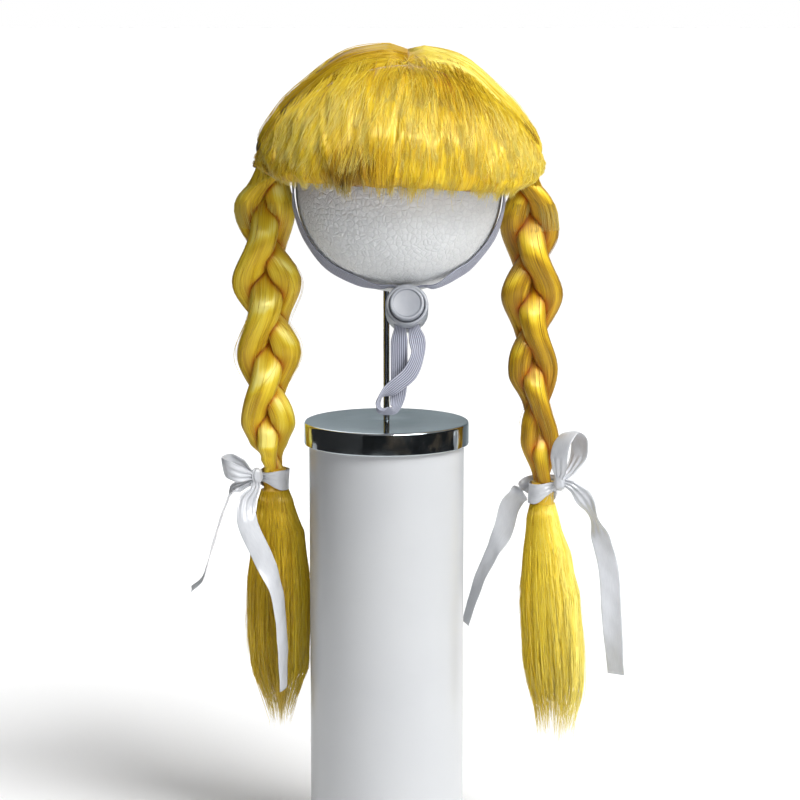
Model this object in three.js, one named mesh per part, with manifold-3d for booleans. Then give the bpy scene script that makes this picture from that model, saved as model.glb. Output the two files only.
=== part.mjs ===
// A small animal's wig with a fringe, two braids, ribbon bows and an elastic chin strap, on its plain stand.
// Millimetres, +Z up. The origin is on the floor under the middle of the stand, and the wig's front faces -Y.
import * as THREE from 'three';
import { mergeVertices } from 'three/addons/utils/BufferGeometryUtils.js';
import Module from 'manifold-3d';

const wasm = await Module();
wasm.setup();

// Clearance between neighbouring pieces
const gap = 0.3;

// Stand: a white column, a chromed lid, a thin rod and a foam ball
const columnRadius = 38;
const columnHeight = 218;
const lidWall = 2;
const lidDepth = 11.2;
const rodRadius = 1.5;
const rodReach = 63.6;
const rodSeat = 1.7;
const rodInBall = 25;
const ballRadius = 50;
const ballShift = 6.1;
const columnSides = 40;
const ballSides = 26;

// Wig base and hair
const capWall = 1.5;
const hairDepth = 20.7;
const fringeDepth = 20.2;
const capFrontRim = 22;
const capSideRim = 4;
const capBackRim = -27;
const partingSide = 0.065;
const rootAngle = 58.6;
const napeAngle = 202;
const gatherAngle = 9;
const gatherFrom = 77;
const gatherTo = 112;
const fringeEnd = 73.5;

// Braids and tails: strand size, how far the strands swing, and the length of one crossing
const strandRadius = 8.1;
const strandSwing = 8;
const strandDepth = 7;
const braidTurn = 32;
const strandSides = 9;
const braidSteps = 26;
const strandClear = 0.6;
const neckRadius = 5.6;
const tieHeight = 11;
// How far beyond the ball's side the middle of either braid hangs
const leftBeside = 14.5;
const rightBeside = 21.5;

// Satin ribbon and flat elastic
const ribbonWidth = 10;
const ribbonThick = 1;
const knotSize = 5;
const knotFlat = 0.64;
const strapWidth = 8;
const strapThick = 1;
const strapBunched = 5.5;
const strapLift = 2.1;

// Push-button lock on the chin strap
const lockRadius = 10.2;
const lockWall = 1.7;
const lockTilt = 22;
const buttonTravel = 3;
const buttonProud = 3;
const slotToFace = 5.5;
const slotToBack = 3.8;
const lockSide = 3.8;
const lockFront = 29.1;
const lockUnderBall = 4.6;
const lockSides = 24;

// Facets round the wig base, down it, and across and down each half of the hair
const capAround = 30;
const capDown = 8;
const crownAcross = 20;
const crownDown = 9;

const radians = THREE.MathUtils.degToRad;
const mix = THREE.MathUtils.lerp;

// Where the corners of flat facets that span so many degrees lie, so that no facet cuts inside the radius
const roundOutside = (radius, span) => radius / Math.cos(radians(span / 2));

// Values that follow from the ones above
const lidTop = columnHeight + gap + lidWall;
const ballCentre = new THREE.Vector3(ballShift, 0, lidTop + rodReach + ballRadius);
const capInner = roundOutside(ballRadius + gap, Math.hypot((90 - capBackRim) / capDown, 360 / capAround));
const capOuter = capInner + capWall;
const crownStep = Math.hypot((napeAngle - rootAngle) / crownAcross, (90 - gatherAngle) / crownDown);
const hairInner = roundOutside(capOuter + gap, crownStep);
const buttonRadius = lockRadius - lockWall - gap;

const paint = (color, roughness, metalness = 0) => new THREE.MeshStandardMaterial({ color, roughness, metalness });
const whitePlastic = paint(0xeeeeee, 0.35);
const chromePlate = paint(0xbfc4c8, 0.08, 1);
const foam = paint(0xe9ebee, 0.85);
const netting = paint(0xd9b040, 0.9);
const yellowHair = paint(0xe3bd33, 0.45);
const satin = paint(0xf3f4f6, 0.3);
const elastic = paint(0xd9d9e6, 0.75);
const lockPlastic = paint(0xdcdfe2, 0.4);

const model = new THREE.Group();

function addPiece(name, geometry, material) {
  const mesh = new THREE.Mesh(geometry, material);
  mesh.name = name;
  model.add(mesh);
  return mesh;
}

// Reads one column of a table of rows between the two rows that at lies between.
function readTable(rows, key, at) {
  const last = rows.length - 1;
  if (at <= rows[0].at) return rows[0][key];
  if (at >= rows[last].at) return rows[last][key];
  const i = rows.findIndex((row) => row.at > at) - 1;
  const share = (at - rows[i].at) / (rows[i + 1].at - rows[i].at);
  const soft = share * share * (3 - 2 * share);
  return mix(rows[i][key], rows[i + 1][key], soft);
}

// Makes a closed geometry from points and triangles, and turns it outwards if its volume is negative.
function closedGeometry(points, faces) {
  let volume = 0;
  for (const [a, b, c] of faces) {
    volume += points[a].dot(new THREE.Vector3().crossVectors(points[b], points[c]));
  }
  const turned = volume < 0 ? faces.map(([a, b, c]) => [a, c, b]) : faces;
  const geometry = new THREE.BufferGeometry();
  geometry.setAttribute('position', new THREE.Float32BufferAttribute(points.flatMap((p) => p.toArray()), 3));
  geometry.setIndex(turned.flat());
  return geometry;
}

// A closed tube through rings of points, each with as many points. A fan closes either end, round the end
// ring's own middle or round a point that is given for it.
function ringBody(rings, firstHub, lastHub) {
  const sides = rings[0].length;
  const points = rings.flat();
  const faces = [];
  for (let i = 0; i < rings.length - 1; i++) {
    for (let j = 0; j < sides; j++) {
      const a = i * sides + j;
      const b = i * sides + ((j + 1) % sides);
      faces.push([a, b, b + sides], [a, b + sides, a + sides]);
    }
  }
  for (const [ring, given, flip] of [[0, firstHub, true], [rings.length - 1, lastHub, false]]) {
    const middle = new THREE.Vector3();
    rings[ring].forEach((p) => middle.addScaledVector(p, 1 / sides));
    const hub = points.push(given ?? middle) - 1;
    for (let j = 0; j < sides; j++) {
      const a = ring * sides + j;
      const b = ring * sides + ((j + 1) % sides);
      faces.push(flip ? [b, a, hub] : [a, b, hub]);
    }
  }
  return closedGeometry(points, faces);
}

// A closed shell between two grids of points of the same size, joined round its four edges.
function shellBody(outer, inner) {
  const high = outer.length;
  const wide = outer[0].length;
  const points = [...outer.flat(), ...inner.flat()];
  const faces = [];
  const at = (i, j, side) => side * high * wide + i * wide + j;
  const quad = (a, b, c, d) => faces.push([a, b, c], [a, c, d]);
  for (let i = 0; i < high - 1; i++) {
    for (let j = 0; j < wide - 1; j++) {
      quad(at(i, j, 0), at(i, j + 1, 0), at(i + 1, j + 1, 0), at(i + 1, j, 0));
      quad(at(i, j, 1), at(i + 1, j, 1), at(i + 1, j + 1, 1), at(i, j + 1, 1));
    }
  }
  for (let j = 0; j < wide - 1; j++) {
    quad(at(0, j + 1, 0), at(0, j, 0), at(0, j, 1), at(0, j + 1, 1));
    quad(at(high - 1, j, 0), at(high - 1, j + 1, 0), at(high - 1, j + 1, 1), at(high - 1, j, 1));
  }
  for (let i = 0; i < high - 1; i++) {
    quad(at(i, 0, 0), at(i + 1, 0, 0), at(i + 1, 0, 1), at(i, 0, 1));
    quad(at(i + 1, wide - 1, 0), at(i, wide - 1, 0), at(i, wide - 1, 1), at(i + 1, wide - 1, 1));
  }
  return closedGeometry(points, faces);
}

// A flat strip of even thickness along a smooth curve through its rows. Each row gives its place, the way its
// width points, and its width; between rows all three change smoothly.
function stripBody(rows, thick, steps) {
  const path = new THREE.CatmullRomCurve3(rows.map((row) => row.place), false, 'centripetal');
  const rings = [];
  for (let i = 0; i <= steps; i++) {
    const t = i / steps;
    const along = path.getTangent(t).normalize();
    const k = Math.min(Math.floor(t * (rows.length - 1)), rows.length - 2);
    const share = t * (rows.length - 1) - k;
    const soft = share * share * (3 - 2 * share);
    const across = rows[k].side.clone().normalize().lerp(rows[k + 1].side.clone().normalize(), soft);
    across.addScaledVector(along, -across.dot(along)).normalize();
    const face = new THREE.Vector3().crossVectors(along, across);
    const half = mix(rows[k].wide, rows[k + 1].wide, soft) / 2;
    const place = path.getPoint(t);
    rings.push([[1, 1], [-1, 1], [-1, -1], [1, -1]].map(([a, b]) => (
      place.clone().addScaledVector(across, a * half).addScaledVector(face, (b * thick) / 2)
    )));
  }
  return ringBody(rings);
}

// Manifold solids, for the pieces that need a cut
function solidOf(geometry) {
  const bare = geometry.clone();
  bare.deleteAttribute('normal');
  bare.deleteAttribute('uv');
  const merged = mergeVertices(bare, 1e-4);
  return new wasm.Manifold(new wasm.Mesh({
    numProp: 3,
    vertProperties: new Float32Array(merged.attributes.position.array),
    triVerts: new Uint32Array(merged.index.array),
  }));
}

function geometryOf(solid) {
  const { vertProperties, triVerts } = solid.getMesh();
  const geometry = new THREE.BufferGeometry();
  geometry.setAttribute('position', new THREE.Float32BufferAttribute(vertProperties, 3));
  geometry.setIndex([...triVerts]);
  return geometry;
}

const roundBar = (radius, from, to, sides) => (
  new THREE.CylinderGeometry(radius, radius, to - from, sides).rotateX(Math.PI / 2).translate(0, 0, (from + to) / 2)
);

// Stand
function buildStand() {
  addPiece('stand_column', roundBar(columnRadius, 0, columnHeight, columnSides), whitePlastic);

  const lidRadius = columnRadius + gap + lidWall;
  const lidBottom = lidTop - lidDepth;
  const hole = rodRadius + gap;
  const profile = [
    [hole, lidTop - lidWall], [lidRadius - lidWall, lidTop - lidWall], [lidRadius - lidWall, lidBottom],
    [lidRadius, lidBottom], [lidRadius, lidTop], [hole, lidTop],
    [hole, lidTop - lidWall],
  ].map(([r, z]) => new THREE.Vector2(r, z));
  addPiece('stand_lid', new THREE.LatheGeometry(profile, columnSides).rotateX(Math.PI / 2), chromePlate);

  const ballFoot = ballCentre.z - Math.sqrt(ballRadius ** 2 - ballShift ** 2);
  const rodTop = ballFoot + rodInBall;
  addPiece('stand_rod', roundBar(rodRadius, lidTop - rodSeat, rodTop, 12), chromePlate);

  const ball = new THREE.SphereGeometry(ballRadius, ballSides, ballSides / 2).rotateX(Math.PI / 2);
  ball.translate(ballCentre.x, ballCentre.y, ballCentre.z);
  const bore = roundBar(rodRadius + gap, ballFoot - ballRadius, rodTop + gap, 12);
  addPiece('stand_ball', geometryOf(solidOf(ball).subtract(solidOf(bore))), foam);
}

// A direction from the ball's centre: turn is measured from the front towards +X, rise from the level.
function direction(turn, rise) {
  const flat = Math.cos(radians(rise));
  return new THREE.Vector3(
    flat * Math.sin(radians(turn)), -flat * Math.cos(radians(turn)), Math.sin(radians(rise)),
  );
}

// The unit direction at a share of the way along the arc from one direction to another.
function onArc(from, to, share) {
  const angle = from.angleTo(to);
  const a = Math.sin((1 - share) * angle) / Math.sin(angle);
  const b = Math.sin(share * angle) / Math.sin(angle);
  return from.clone().multiplyScalar(a).addScaledVector(to, b).normalize();
}

const fromBall = (way, radius) => ballCentre.clone().addScaledVector(way, radius);

// A rounded lock of hair in a row of so many locks: 1 along its middle and 0 in the groove beside it.
const lockRound = (share, count) => Math.sqrt(Math.abs(Math.sin(Math.PI * count * share)));

// Wig base: a cloth dome over the ball, cut high over the face and low over the nape
const rimRows = [
  { at: 0, rim: capFrontRim }, { at: 50, rim: capFrontRim }, { at: 78, rim: capSideRim },
  { at: 102, rim: capSideRim }, { at: 150, rim: capBackRim }, { at: 180, rim: capBackRim },
];
const rimAt = (turn) => readTable(rimRows, 'rim', Math.abs(((turn + 180) % 360 + 360) % 360 - 180));

function buildCap() {
  const ring = (i, radius) => Array.from({ length: capAround }, (_, j) => {
    const turn = (360 * j) / capAround;
    return fromBall(direction(turn, mix(90, rimAt(turn), i / capDown)), radius);
  });
  const rings = [];
  for (let i = 1; i <= capDown; i++) rings.push(ring(i, capOuter));
  for (let i = capDown; i >= 1; i--) rings.push(ring(i, capInner));
  const up = direction(0, 90);
  addPiece('wig_cap', ringBody(rings, fromBall(up, capOuter), fromBall(up, capInner)), netting);
}

// The parting runs over the top from the fringe's root to the nape. angle is 0 at the front and 90 at the top.
function onParting(angle, hand) {
  const seam = (hand * gap) / 2 / hairInner;
  const lean = partingSide * Math.max(0, Math.sin(radians(angle)));
  return new THREE.Vector3(lean + seam, -Math.cos(radians(angle)), Math.sin(radians(angle))).normalize();
}

// How far the hair stands from the base down one side, as shares of its depth
const crownRows = [
  { at: 0, deep: 0.68 }, { at: 0.1, deep: 0.81 }, { at: 0.28, deep: 0.85 }, { at: 0.52, deep: 0.75 },
  { at: 0.7, deep: 0.81 }, { at: 0.9, deep: 0.91 }, { at: 1, deep: 0.9 },
];
// And across it, from the fringe's root at 0 to the nape at 1
const crownAcrossRows = [
  { at: 0, deep: 0.97 }, { at: 0.2, deep: 1 }, { at: 0.7, deep: 1 }, { at: 0.88, deep: 0.86 }, { at: 1, deep: 0.5 },
];
const crownLocks = 5;
const lockRelief = 0.09;

// The hair of one side, combed from the parting to the place where its braid begins
function buildCrown(name, hand) {
  const outer = [];
  const inner = [];
  for (let i = 0; i <= crownDown; i++) {
    const share = i / crownDown;
    const rowOut = [];
    const rowIn = [];
    for (let j = 0; j <= crownAcross; j++) {
      const back = j / crownAcross;
      const from = onParting(mix(rootAngle, napeAngle, back), hand);
      const to = direction(hand * mix(gatherFrom, gatherTo, back), gatherAngle);
      const way = onArc(from, to, share);
      const relief = lockRelief * (lockRound(back, crownLocks) - 1) * Math.sin(Math.PI * mix(0.12, 1, share));
      const deep = readTable(crownRows, 'deep', share) * readTable(crownAcrossRows, 'deep', back);
      rowOut.push(fromBall(way, hairInner + hairDepth * (deep + relief)));
      rowIn.push(fromBall(way, hairInner));
    }
    outer.push(rowOut);
    inner.push(rowIn);
  }
  addPiece(name, shellBody(outer, inner), yellowHair);
}

// The fringe's lower edge, in degrees above the ball's middle, from its left end to its right end
const fringeEdge = [
  { at: -1, rise: 7 }, { at: -0.6, rise: 3.4 }, { at: 0, rise: 1 }, { at: 0.6, rise: -0.6 }, { at: 1, rise: 3 },
];
const fringeRows = [
  { at: 0, deep: 0.82 }, { at: 0.2, deep: 0.98 }, { at: 0.6, deep: 1 }, { at: 0.85, deep: 0.93 },
  { at: 1, deep: 0.72 },
];
const fringeLocks = 10;
const fringeTips = 1.6;

function buildFringe() {
  const across = 40;
  const down = 6;
  const clear = THREE.MathUtils.radToDeg((1.5 * gap) / hairInner);
  const outer = [];
  const inner = [];
  for (let i = 0; i <= down; i++) {
    const share = i / down;
    const rowOut = [];
    const rowIn = [];
    for (let j = 0; j <= across; j++) {
      const side = mix(-1, 1, j / across);
      const hand = Math.sign(side) || 1;
      const middle = onParting(rootAngle - clear, 0);
      const ear = direction(hand * (gatherFrom - clear), gatherAngle);
      const root = side === 0 ? middle : onArc(middle, ear, Math.abs(side));
      const lock = lockRound(j / across, fringeLocks);
      const rise = readTable(fringeEdge, 'rise', side) - fringeTips * (lock - 1);
      const edge = direction(side * fringeEnd, rise);
      const way = onArc(root, edge, share);
      const relief = lockRelief * (lock - 1) * mix(0.3, 1, share);
      rowOut.push(fromBall(way, hairInner + fringeDepth * (readTable(fringeRows, 'deep', share) + relief)));
      rowIn.push(fromBall(way, hairInner));
    }
    outer.push(rowOut);
    inner.push(rowIn);
  }
  addPiece('fringe', shellBody(outer, inner), yellowHair);
}

// Braids. Each side has the length of its braid and of its tail, with a table down each as shares of that
// length. out is how far its middle lies from the ball's and behind is how far it hangs behind the ball's
// middle, both as shares of the side's own values. full is the strands' thickness and half the tail's width.
// knot is where the bow's knot sits, from the middle of the tie.
const leftSide = {
  name: 'left', hand: -1, braidLength: 147, crossing: 35.7, firstNeck: 36.4, tailLength: 113, tailHalf: 16,
  out: ballRadius + leftBeside, behind: 14, knot: { out: 8.6, front: 7.2, up: 2.6 },
  rows: [
    { at: 0, out: 1.01, behind: 0.36, full: 0.84 }, { at: 0.13, out: 1.01, behind: 0.4, full: 0.86 },
    { at: 0.39, out: 1.005, behind: 0.6, full: 1 },
    { at: 0.57, out: 0.99, behind: 0.7, full: 0.92 }, { at: 0.73, out: 1.01, behind: 0.76, full: 0.89 },
    { at: 0.84, out: 1.005, behind: 0.8, full: 0.8 }, { at: 0.92, out: 1.005, behind: 0.84, full: 0.66 },
    { at: 0.965, out: 0.985, behind: 0.86, full: 0.5 }, { at: 1, out: 0.96, behind: 0.86, full: 0.44 },
  ],
  tail: [
    { at: 0, out: 0.957, half: 0.5 }, { at: 0.06, out: 0.955, half: 0.64 }, { at: 0.22, out: 0.937, half: 0.86 },
    { at: 0.44, out: 0.94, half: 0.98 }, { at: 0.62, out: 0.942, half: 1 }, { at: 0.8, out: 0.935, half: 0.84 },
    { at: 0.91, out: 0.935, half: 0.55 }, { at: 1, out: 0.933, half: 0.22 },
  ],
};
const rightSide = {
  name: 'right', hand: 1, braidLength: 154, crossing: 36.4, firstNeck: 43.6, tailLength: 113, tailHalf: 15.2,
  out: ballRadius + rightBeside, behind: 14, knot: { out: 8, front: 7.4, up: 6.8 },
  rows: [
    { at: 0, out: 0.885, behind: 0.36, full: 0.8 }, { at: 0.13, out: 0.885, behind: 0.4, full: 0.82 },
    { at: 0.25, out: 0.9, behind: 0.6, full: 0.88 },
    { at: 0.38, out: 0.912, behind: 0.64, full: 0.9 }, { at: 0.52, out: 0.912, behind: 0.7, full: 0.76 },
    { at: 0.65, out: 0.925, behind: 0.72, full: 0.72 }, { at: 0.76, out: 0.955, behind: 0.78, full: 0.62 },
    { at: 0.86, out: 0.975, behind: 0.8, full: 0.58 }, { at: 1, out: 0.995, behind: 0.86, full: 0.46 },
  ],
  tail: [
    { at: 0, out: 1, half: 0.45 }, { at: 0.08, out: 1.003, half: 0.58 }, { at: 0.26, out: 1.035, half: 0.84 },
    { at: 0.44, out: 1.055, half: 1 }, { at: 0.67, out: 1.08, half: 0.99 }, { at: 0.82, out: 1.1, half: 0.86 },
    { at: 0.92, out: 1.11, half: 0.58 }, { at: 1, out: 1.1, half: 0.2 },
  ],
};
const braidTop = ballCentre.z + hairInner * Math.sin(radians(gatherAngle)) - gap;

// The height at which the crown's underside passes a place: it rises away from the ball's middle.
function underCrown(x, y) {
  const reach = Math.hypot(x - ballCentre.x, y - ballCentre.y);
  return ballCentre.z + reach * Math.tan(radians(gatherAngle)) - gap;
}

// The middle of one strand at a share of the braid. The strands follow each other a third of a turn apart on a
// figure of eight: swing times the sine across, depth times the sine of twice the angle to the front.
function strandMiddle(side, strand, share) {
  const down = share * side.braidLength;
  const angle = radians(120) * ((down - side.firstNeck) / side.crossing + strand);
  const full = readTable(side.rows, 'full', share);
  const a = full * strandSwing * Math.sin(angle);
  const b = -full * strandDepth * Math.sin(2 * angle);
  const turn = radians(braidTurn);
  return {
    x: ballCentre.x + side.hand * (side.out * readTable(side.rows, 'out', share)
      - (a * Math.cos(turn) - b * Math.sin(turn))),
    y: side.behind * readTable(side.rows, 'behind', share) + a * Math.sin(turn) + b * Math.cos(turn),
    z: braidTop - down,
    radius: full * strandRadius,
  };
}

// How far a strand reaches in one direction of a level slice: to its own radius, or half-way to a strand beside it.
function strandReach(side, strand, share, turn) {
  const own = strandMiddle(side, strand, share);
  let reach = own.radius;
  for (const step of [1, 2]) {
    const other = strandMiddle(side, (strand + step) % 3, share);
    const dx = other.x - own.x;
    const dy = other.y - own.y;
    const apart = Math.hypot(dx, dy);
    const facing = (Math.cos(turn) * dx + Math.sin(turn) * dy) / apart;
    if (facing > 0) reach = Math.min(reach, (apart - strandClear) / 2 / facing);
  }
  return reach;
}

// One strand, in level slices. A slice also keeps within the reach just above and below it, so that the flat
// facets between two slices stay clear of the other strands.
function buildStrand(side, strand) {
  const rings = [];
  for (let i = 0; i <= braidSteps; i++) {
    const share = i / braidSteps;
    const own = strandMiddle(side, strand, share);
    rings.push(Array.from({ length: strandSides }, (_, j) => {
      const turn = (2 * Math.PI * j) / strandSides;
      const near = [-0.7, -0.35, 0, 0.35, 0.7].map((k) => strandReach(side, strand, share + k / braidSteps, turn));
      const reach = Math.min(...near);
      const x = own.x + reach * Math.cos(turn);
      const y = own.y + reach * Math.sin(turn);
      return new THREE.Vector3(x, y, i === 0 ? underCrown(x, y) : own.z);
    }));
  }
  addPiece(`braid_${side.name}_strand_${strand + 1}`, ringBody(rings), yellowHair);
}

// The middle of the tie round a braid's end
function tieCentre(side) {
  return new THREE.Vector3(
    ballCentre.x + side.hand * side.out * readTable(side.tail, 'out', 0),
    side.behind * readTable(side.rows, 'behind', 1),
    braidTop - side.braidLength - gap - tieHeight / 2,
  );
}

const tailLocks = 5;
const tailSides = 20;
const tailSteps = 11;
const tailFlat = 0.62;
const tailGroove = 0.16;
const tailPoints = 0.1;

// The loose tail under a braid: a round neck inside the tie, then an oval bundle with grooves between its locks,
// which end in points
function buildTail(side) {
  const tie = tieCentre(side);
  const ring = (x, y, half, flat, groove, height) => Array.from({ length: tailSides }, (_, j) => {
    const turn = (2 * Math.PI * j) / tailSides;
    const lock = lockRound(j / tailSides + 0.5 / tailLocks, tailLocks) - 1;
    const reach = half * (1 + groove * lock);
    return new THREE.Vector3(x + reach * Math.cos(turn), y + reach * flat * Math.sin(turn), height(lock));
  });
  const rings = [1, -1].map((end) => ring(tie.x, tie.y, neckRadius, 1, 0, () => tie.z + (end * tieHeight) / 2));
  for (let i = 1; i <= tailSteps; i++) {
    const share = i / tailSteps;
    const x = ballCentre.x + side.hand * side.out * readTable(side.tail, 'out', share);
    const y = mix(tie.y, side.behind, share);
    const half = side.tailHalf * readTable(side.tail, 'half', share);
    const opened = Math.min(1, share * 4);
    const points = tailPoints * side.tailLength * Math.max(0, share - 0.75) * 4;
    rings.push(ring(x, y, half, mix(1, tailFlat, opened), tailGroove * opened, (lock) => (
      tie.z - tieHeight / 2 - share * side.tailLength - points * lock
    )));
  }
  addPiece(`tail_${side.name}`, ringBody(rings), yellowHair);
}

const vector = (x, y, z) => new THREE.Vector3(x, y, z);

// The knot's lump, made bigger all round by swell
function knotLump(side, knot, swell) {
  const centre = tieCentre(side);
  const turn = Math.atan2(knot.x - centre.x, centre.y - knot.y);
  const lump = new THREE.SphereGeometry(1, 12, 8);
  lump.scale(knotSize + swell, knotFlat * knotSize + swell, knotSize + swell).rotateZ(turn);
  return solidOf(lump.translate(knot.x, knot.y, knot.z));
}

// A bow's band is a ring round the hair, and its knot sits on the band's front.
function buildBand(side, knot) {
  const centre = tieCentre(side);
  const inner = neckRadius + 2 * gap;
  const outer = inner + ribbonThick;
  const low = -ribbonWidth / 2;
  const profile = [[inner, low], [outer, low], [outer, -low], [inner, -low], [inner, low]];
  const band = new THREE.LatheGeometry(profile.map(([r, z]) => new THREE.Vector2(r, z)), 18).rotateX(Math.PI / 2);
  addPiece(`bow_${side.name}_band`, band.translate(centre.x, centre.y, centre.z), satin);
  const clear = roundBar(outer + gap, -ribbonWidth, ribbonWidth, 24).translate(centre.x, centre.y, centre.z);
  addPiece(`bow_${side.name}_knot`, geometryOf(knotLump(side, knot, 0).subtract(solidOf(clear))), satin);
}

const knotPlace = (side) => tieCentre(side).add(vector(side.hand * side.knot.out, -side.knot.front, side.knot.up));

// A ribbon that comes out of the knot, a gap clear of it. Its rows are shares of its reach: out away from the
// wig, front, and up.
function buildRibbon(name, side, knot, reach, rows, steps) {
  const body = stripBody(rows.map((row) => ({
    place: knot.clone().add(vector(side.hand * row.out, -row.front, row.up).multiplyScalar(reach)),
    side: vector(side.hand * row.side[0], -row.side[1], row.side[2]),
    wide: ribbonWidth * row.wide,
  })), ribbonThick, steps);
  addPiece(name, geometryOf(solidOf(body).subtract(knotLump(side, knot, gap))), satin);
}

const leftLoop = 17;
const leftThinTail = 66;
const leftBroadTail = 106;
const rightLoop = 26;
const rightOuterTail = 104;
const rightInnerTail = 82;

function buildLeftBow() {
  const knot = knotPlace(leftSide);
  buildBand(leftSide, knot);
  buildRibbon('bow_left_loop', leftSide, knot, leftLoop, [
    { out: 0.12, front: 0.06, up: 0.02, side: [0, 0.1, 1], wide: 0.35 },
    { out: 0.5, front: 0.3, up: 0.1, side: [0, 0.15, 1], wide: 0.85 },
    { out: 0.86, front: 0.22, up: 0.24, side: [0.1, 0.2, 1], wide: 1 },
    { out: 0.98, front: -0.08, up: 0.26, side: [0.15, 0.1, 1], wide: 1 },
    { out: 0.78, front: -0.36, up: 0.3, side: [0.25, 0, 1], wide: 1 },
    { out: 0.48, front: -0.3, up: 0.24, side: [0.15, 0, 1], wide: 0.8 },
    { out: 0.14, front: -0.1, up: 0.03, side: [0, 0, 1], wide: 0.3 },
  ], 20);
  buildRibbon('bow_left_tail_outer', leftSide, knot, leftThinTail, [
    { out: 0.035, front: -0.01, up: -0.035, side: [0.6, 0, -0.6], wide: 0.3 },
    { out: 0.11, front: -0.01, up: -0.075, side: [0.4, 0.4, -0.8], wide: 0.5 },
    { out: 0.18, front: 0.01, up: -0.11, side: [0.3, 0.8, -0.6], wide: 0.8 },
    { out: 0.24, front: 0.05, up: -0.24, side: [0.1, 1, 0], wide: 1 },
    { out: 0.3, front: 0.06, up: -0.42, side: [0.05, 1, 0], wide: 1 },
    { out: 0.36, front: 0.05, up: -0.62, side: [-0.05, 1, 0], wide: 1 },
    { out: 0.41, front: 0.03, up: -0.78, side: [-0.08, 1, 0], wide: 1 },
    { out: 0.5, front: 0.02, up: -0.87, side: [-0.1, 1, 0], wide: 1 },
  ], 15);
  buildRibbon('bow_left_tail_inner', leftSide, knot, leftBroadTail, [
    { out: 0, front: 0.01, up: -0.02, side: [1, 0, 0.1], wide: 0.3 },
    { out: 0.01, front: 0.035, up: -0.06, side: [1, 0, 0.3], wide: 0.5 },
    { out: 0.04, front: 0.055, up: -0.11, side: [1, 0.05, 0.2], wide: 0.85 },
    { out: 0.04, front: 0.09, up: -0.2, side: [1, 0.1, 0], wide: 1 },
    { out: -0.03, front: 0.11, up: -0.36, side: [1, 0.2, 0], wide: 1 },
    { out: -0.095, front: 0.12, up: -0.52, side: [0.6, 0.8, 0], wide: 1 },
    { out: -0.12, front: 0.11, up: -0.72, side: [0.45, 0.9, 0], wide: 1 },
    { out: -0.125, front: 0.09, up: -1, side: [0.35, 0.95, 0], wide: 1 },
  ], 15);
}

function buildRightBow() {
  const knot = knotPlace(rightSide);
  buildBand(rightSide, knot);
  buildRibbon('bow_right_loop', rightSide, knot, rightLoop, [
    { out: -0.02, front: 0.05, up: 0.08, side: [0.7, 0.7, 0], wide: 0.3 },
    { out: -0.02, front: 0.18, up: 0.26, side: [0.7, 0.7, 0], wide: 0.6 },
    { out: -0.1, front: 0.3, up: 0.48, side: [0.8, 0.5, 0.1], wide: 0.9 },
    { out: -0.04, front: 0.28, up: 0.8, side: [0.75, 0.6, 0.3], wide: 1 },
    { out: 0.17, front: 0.2, up: 0.95, side: [0.4, 0.9, 0.2], wide: 1 },
    { out: 0.38, front: 0.12, up: 0.72, side: [-0.3, 0.95, 0.2], wide: 1 },
    { out: 0.3, front: 0.1, up: 0.36, side: [-0.2, 1, 0], wide: 0.85 },
    { out: 0.08, front: 0.01, up: 0.06, side: [0, 1, 0], wide: 0.3 },
  ], 20);
  buildRibbon('bow_right_tail_outer', rightSide, knot, rightOuterTail, [
    { out: 0.02, front: 0.01, up: 0, side: [0, 0.2, 1], wide: 0.35 },
    { out: 0.06, front: 0.02, up: -0.02, side: [0.1, 0.2, 1], wide: 0.6 },
    { out: 0.11, front: 0.03, up: -0.07, side: [0.6, 0.3, 0.8], wide: 0.9 },
    { out: 0.165, front: 0.03, up: -0.17, side: [0.4, 0.9, 0.1], wide: 0.85 },
    { out: 0.2, front: 0.03, up: -0.28, side: [0.9, 0.4, 0.1], wide: 1 },
    { out: 0.235, front: 0.03, up: -0.42, side: [1, 0.25, 0], wide: 1 },
    { out: 0.255, front: 0.02, up: -0.66, side: [1, 0.3, 0], wide: 1 },
    { out: 0.28, front: 0.01, up: -0.94, side: [0.75, 0.65, 0], wide: 1 },
  ], 16);
  buildRibbon('bow_right_tail_inner', rightSide, knot, rightInnerTail, [
    { out: 0.03, front: -0.005, up: -0.02, side: [0, 0, 1], wide: 0.3 },
    { out: 0.02, front: -0.05, up: -0.03, side: [0, 0, 1], wide: 0.5 },
    { out: 0.012, front: -0.1, up: -0.035, side: [0, 0, 1], wide: 0.7 },
    { out: -0.02, front: -0.175, up: -0.04, side: [0, 0, 1], wide: 0.8 },
    { out: -0.098, front: -0.207, up: -0.045, side: [0.1, 0, 1], wide: 0.85 },
    { out: -0.18, front: -0.185, up: -0.06, side: [0.3, 0, 1], wide: 0.95 },
    { out: -0.235, front: -0.18, up: -0.11, side: [0.8, 0.1, 0.6], wide: 1 },
    { out: -0.29, front: -0.2, up: -0.19, side: [1, 0.1, 0.1], wide: 1 },
    { out: -0.33, front: -0.2, up: -0.34, side: [1, 0.2, 0.1], wide: 1 },
    { out: -0.4, front: -0.19, up: -0.49, side: [0.6, 0.8, 0], wide: 1 },
    { out: -0.47, front: -0.18, up: -0.64, side: [0.5, 0.85, 0], wide: 1 },
    { out: -0.56, front: -0.17, up: -0.92, side: [0.3, 0.95, 0], wide: 1 },
  ], 18);
}

// The lock's own frame: its axis points to the front and up, and the strap runs through it down the slot.
const lockPlace = ballCentre.clone().add(vector(lockSide, -lockFront, -ballRadius - lockUnderBall));
const lockAxis = vector(0, -Math.cos(radians(lockTilt)), Math.sin(radians(lockTilt)));
const slotUp = vector(0, Math.sin(radians(lockTilt)), Math.cos(radians(lockTilt)));

function toLock(geometry) {
  const frame = new THREE.Matrix4().makeBasis(vector(1, 0, 0), slotUp, lockAxis);
  frame.setPosition(lockPlace);
  return geometry.applyMatrix4(frame);
}

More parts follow.
